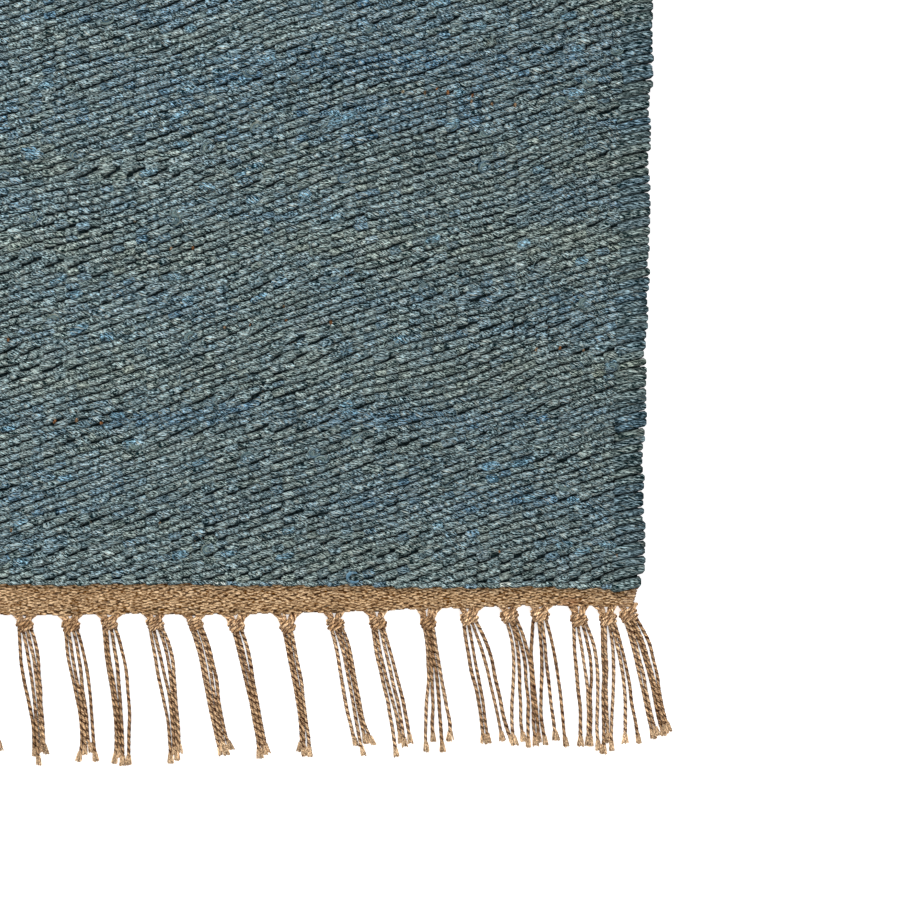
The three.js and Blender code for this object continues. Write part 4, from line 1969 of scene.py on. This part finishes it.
@dataclass
class Fuzz:
    """Stray fibres, tangles and slub ends that stand off the weft.

    hairs is how many stray fibres there are, and clusters how many places they are gathered round. tangles
    is how many tangles there are, and loops how many fibres are in each. slub_loop is the place of the slub
    that has sprung out in a loop.
    """

    ROUND: ClassVar[float] = 0.9

    hairs: int = 1250
    clusters: int = 260
    tangles: int = 175
    loops: int = 7
    slub_loop: Spot = (138.4, -429.5)
    template: Template = Template(7, 3, closed=True)

    def _hairs(self, rng: np.random.Generator) -> Yarns:
        """Makes curled fibres all over the field, many of them in clusters.

        Args:
            rng: the source of their random numbers.

        Returns:
            The fibres.
        """
        count = self.hairs
        middles = [rng.uniform(-290.0, 290.0, self.clusters), rng.uniform(-427.0, 427.0, self.clusters)]
        centres = np.stack(middles, -1)
        place = centres[rng.integers(0, self.clusters, count)] + rng.normal(0.0, 4.0, (count, 2))
        heading = rng.uniform(0.0, 2 * math.pi, count)[:, None]
        length = rng.uniform(3.5, 10.0, count)[:, None]
        curl = rng.normal(0.0, 2.2, count)[:, None]
        along = np.linspace(0.0, 1.0, self.template.rings + 2)[None, :]
        bend = heading + curl * along + rng.normal(0.0, 1.2, count)[:, None] * along**2
        step = length / (self.template.rings + 1)
        run = np.cumsum(np.cos(bend) * step, axis=1)
        climb = np.cumsum(np.sin(bend) * step, axis=1)
        z = FIELD_THICKNESS - 0.25 + rng.uniform(0.3, 1.2, count)[:, None] * np.sin(math.pi * along)
        x = np.clip(place[:, :1] + run, -300.0, 300.0)
        y = np.clip(place[:, 1:] + climb, -440.0, 440.0)
        return self._fibres(rng, np.stack([x, y, z], -1), 0.16)

    def _tangles(self, rng: np.random.Generator) -> tuple[Yarns, Yarns]:
        """Makes loops of fibre that lie one round another, and a flat, slightly darker slub under each.

        The slubs are partly flattened yarn and partly painted shade under the loops.

        Args:
            rng: the source of their random numbers.

        Returns:
            The loops and the slubs.
        """
        along = np.linspace(0.0, 1.0, self.template.rings + 2)
        count = self.tangles
        spines = []
        middles = np.stack([rng.uniform(-288.0, 288.0, count), rng.uniform(-424.0, 424.0, count)], -1)
        for middle in middles:
            opening = rng.uniform(0.0, 2 * math.pi)
            slim, tilt = rng.uniform(0.55, 0.85), rng.uniform(0.0, 0.7)
            for loop in range(self.loops):
                radius = 1.0 + 0.52 * loop + rng.uniform(-0.15, 0.15)
                angle = opening + rng.uniform(-0.5, 0.5) + np.radians(rng.uniform(100.0, 250.0)) * along
                flat, high = radius * np.cos(angle), radius * slim * np.sin(angle)
                x = middle[0] + flat * math.cos(tilt) - high * math.sin(tilt)
                y = middle[1] + flat * math.sin(tilt) + high * math.cos(tilt)
                z = FIELD_THICKNESS + 0.35 - 0.07 * loop + 0.15 * np.sin(math.pi * along)
                spines.append(np.stack([x, y, z], -1))
        # Partly flattened yarn, partly painted shade under the loops.
        slubs = Lenses(
            x=middles[:, 0],
            y=middles[:, 1],
            tilt=rng.normal(0.25, 0.15, count),
            half=rng.uniform(3.6, 5.4, count),
            width=rng.uniform(4.4, 6.4, count),
            crest=rng.uniform(7.05, 7.3, count),
            base=SLUB_BASE,
            dye=np.array(screen(74, 104, 114)) * rng.uniform(0.75, 1.15, (count, 1)),
        )
        return self._fibres(rng, np.array(spines), 0.23), slubs.yarns(rng, 5)

    def _loop(self, rng: np.random.Generator) -> Yarns:
        """Makes the blue slub that has sprung out in a loop beside the front heading.

        Args:
            rng: the source of its grain.

        Returns:
            The slub.
        """
        template = Template(16, 6, closed=True)
        angle = np.radians(np.linspace(50.0, 330.0, template.rings + 2))
        x = self.slub_loop[0] + 3.4 * np.cos(angle)
        y = self.slub_loop[1] + 2.7 * np.sin(angle)
        spine = np.stack([x, y, FIELD_THICKNESS + 0.3 + 0.4 * np.sin(angle / 2)], -1)[None]
        size = np.interp(np.arange(template.rings), [0.0, 4.0, 15.0], [0.5, 1.15, 0.7])[None]
        shape = tubes(template, spine, size, size * 0.8)
        return Yarns.drawn(rng, template, shape, 4.6, 0.1, lots((96, 130, 152)))

    def _fibres(self, rng: np.random.Generator, spine: np.ndarray, thick: float) -> Yarns:
        """Makes fine fibres along some lines.

        Args:
            rng: the source of their random numbers.
            spine: the points of each.
            thick: their mean half thickness.

        Returns:
            The fibres.
        """
        count = len(spine)
        size = thick * rng.uniform(0.6, 1.3, (count, 1)) * np.array([0.8, 1.0, 1.0, 1.0, 1.0, 0.8, 0.5])
        shape = tubes(self.template, spine, size, size)
        dyes = lots((140, 160, 158), (118, 142, 146), (100, 130, 148), (136, 142, 130))
        dye = dyes[rng.choice(len(dyes), size=count, p=[0.35, 0.37, 0.2, 0.08])]
        return Yarns.drawn(rng, self.template, shape, self.ROUND, 0.0, dye)

    def build(self, finish: bpy.types.Material, weft: bpy.types.Material) -> list[bpy.types.Object]:
        """Builds the fibres and the flat slubs.

        Args:
            finish: the fibres' finish.
            weft: the finish of the dyed yarn, for the slubs.

        Returns:
            Both pieces.
        """
        rng = np.random.default_rng(90)
        hairs = self._hairs(rng)
        tangles, slubs = self._tangles(rng)
        return [
            make_piece("field_fibres", [hairs, tangles, self._loop(rng)], finish),
            make_piece("flat_slubs", [slubs], weft),
        ]


@dataclass(frozen=True)
class SoftLight:
    """A square soft light: its name, its place and size in millimetres, and its power in watts."""

    name: str
    place: Point
    size: float
    power: float

    def build(self, target: Vector) -> None:
        """Sets the light up.

        Args:
            target: the place that it faces, in metres.
        """
        data = bpy.data.lights.new(self.name, "AREA")
        data.size = self.size * MM
        data.energy = self.power
        light = bpy.data.objects.new(self.name, data)
        light.location = Vector(self.place) * MM
        light.rotation_euler = (target - light.location).to_track_quat("-Z", "Y").to_euler()
        bpy.context.scene.collection.objects.link(light)


@dataclass
class Studio:
    """The pale floor, the soft lights and the camera, straight above the corner that shows.

    look_at is the middle of the picture and framed its width on the rug. lens and sensor are the camera's.
    floor_reach is half the floor's width, in metres. floor_white, floor_glow and daylight are how pale the
    floor is, how much light it gives of its own and how strong the light from all round is.
    """

    look_at: Spot = (196.6, -365.2)
    framed: float = 506.0
    lens: float = 120.0
    sensor: float = 36.0
    floor_reach: float = 6.0
    floor_white: float = 0.94
    floor_glow: float = 0.6
    daylight: float = 0.55
    lights: tuple[SoftLight, ...] = (
        SoftLight("key_light", (-500.0, 1500.0, 1500.0), 700.0, 36.0),
        SoftLight("fill_light", (1200.0, -1400.0, 1800.0), 1600.0, 16.0),
    )

    def build(self) -> None:
        """Sets up all of it."""
        self._floor()
        # The lights face a place half way between the rug's middle and the picture's.
        target = Vector((self.look_at[0] * 0.5, self.look_at[1] * 0.5, 0.0)) * MM
        for light in self.lights:
            light.build(target)
        world = bpy.data.worlds.new("studio")
        world.use_nodes = True
        sky = world.node_tree.nodes["Background"]
        sky.inputs[0].default_value = (1.0, 1.0, 1.0, 1.0)
        sky.inputs[1].default_value = self.daylight
        bpy.context.scene.world = world
        bpy.context.scene.view_settings.view_transform = "Standard"
        self._camera()

    def _camera(self) -> None:
        """Sets the camera up as high as its lens needs for the framing."""
        data = bpy.data.cameras.new("camera")
        data.lens = self.lens
        data.sensor_width = self.sensor
        data.clip_end = 50.0
        camera = bpy.data.objects.new("camera", data)
        height = self.framed * self.lens / self.sensor
        camera.location = (self.look_at[0] * MM, self.look_at[1] * MM, height * MM)
        bpy.context.scene.collection.objects.link(camera)
        bpy.context.scene.camera = camera

    def _floor(self) -> None:
        """Lays a wide pale floor."""
        mesh = bpy.data.meshes.new("floor")
        reach = self.floor_reach
        corners = [(-reach, -reach, 0.0), (reach, -reach, 0.0), (reach, reach, 0.0), (-reach, reach, 0.0)]
        mesh.from_pydata(corners, [], [(0, 1, 2, 3)])
        bench = NodeBench("pale_floor")
        white = self.floor_white
        bench.set(bench.shader.inputs["Base Color"], (white, white, white, 1.0))
        bench.set(bench.shader.inputs["Roughness"], 0.9)
        bench.set(bench.shader.inputs["Emission Color"], (1.0, 1.0, 1.0, 1.0))
        bench.set(bench.shader.inputs["Emission Strength"], self.floor_glow)
        mesh.materials.append(bench.material)
        floor = bpy.data.objects.new("floor", mesh)
        bpy.context.scene.collection.objects.link(floor)


def main() -> None:
    """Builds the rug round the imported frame, and reports its pieces."""
    logging.basicConfig(level=logging.INFO, format="%(name)s: %(message)s")
    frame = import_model()
    outline = Outline.read(frame["nodes"])
    Studio().build()
    finishes = (DYED_WEFT, TURNED_WEFT, LOOSE_FIBRE, INNER_WARP, PLAIN_WEFT, TWISTED_WARP)
    weft, rim, fluff, warp, undyed, cord = (finish.material() for finish in finishes)
    tassels = all_tassels()
    cloth = Field(outline, DyeLot())
    upper = cloth.floats(Face.UPPER, 11)
    extra = Selvedge(outline, upper, cloth.inset).build(rim) + Fuzz().build(fluff, weft)
    report(extra)
    report(cloth.build(upper, weft, warp, extra))
    for end in End:
        fringe = Fringe(outline, tassels).build(end, cord)
        report(fringe)
        report(Heading(outline, tassels).build(end, undyed, fringe))


if __name__ == "__main__":
    main()
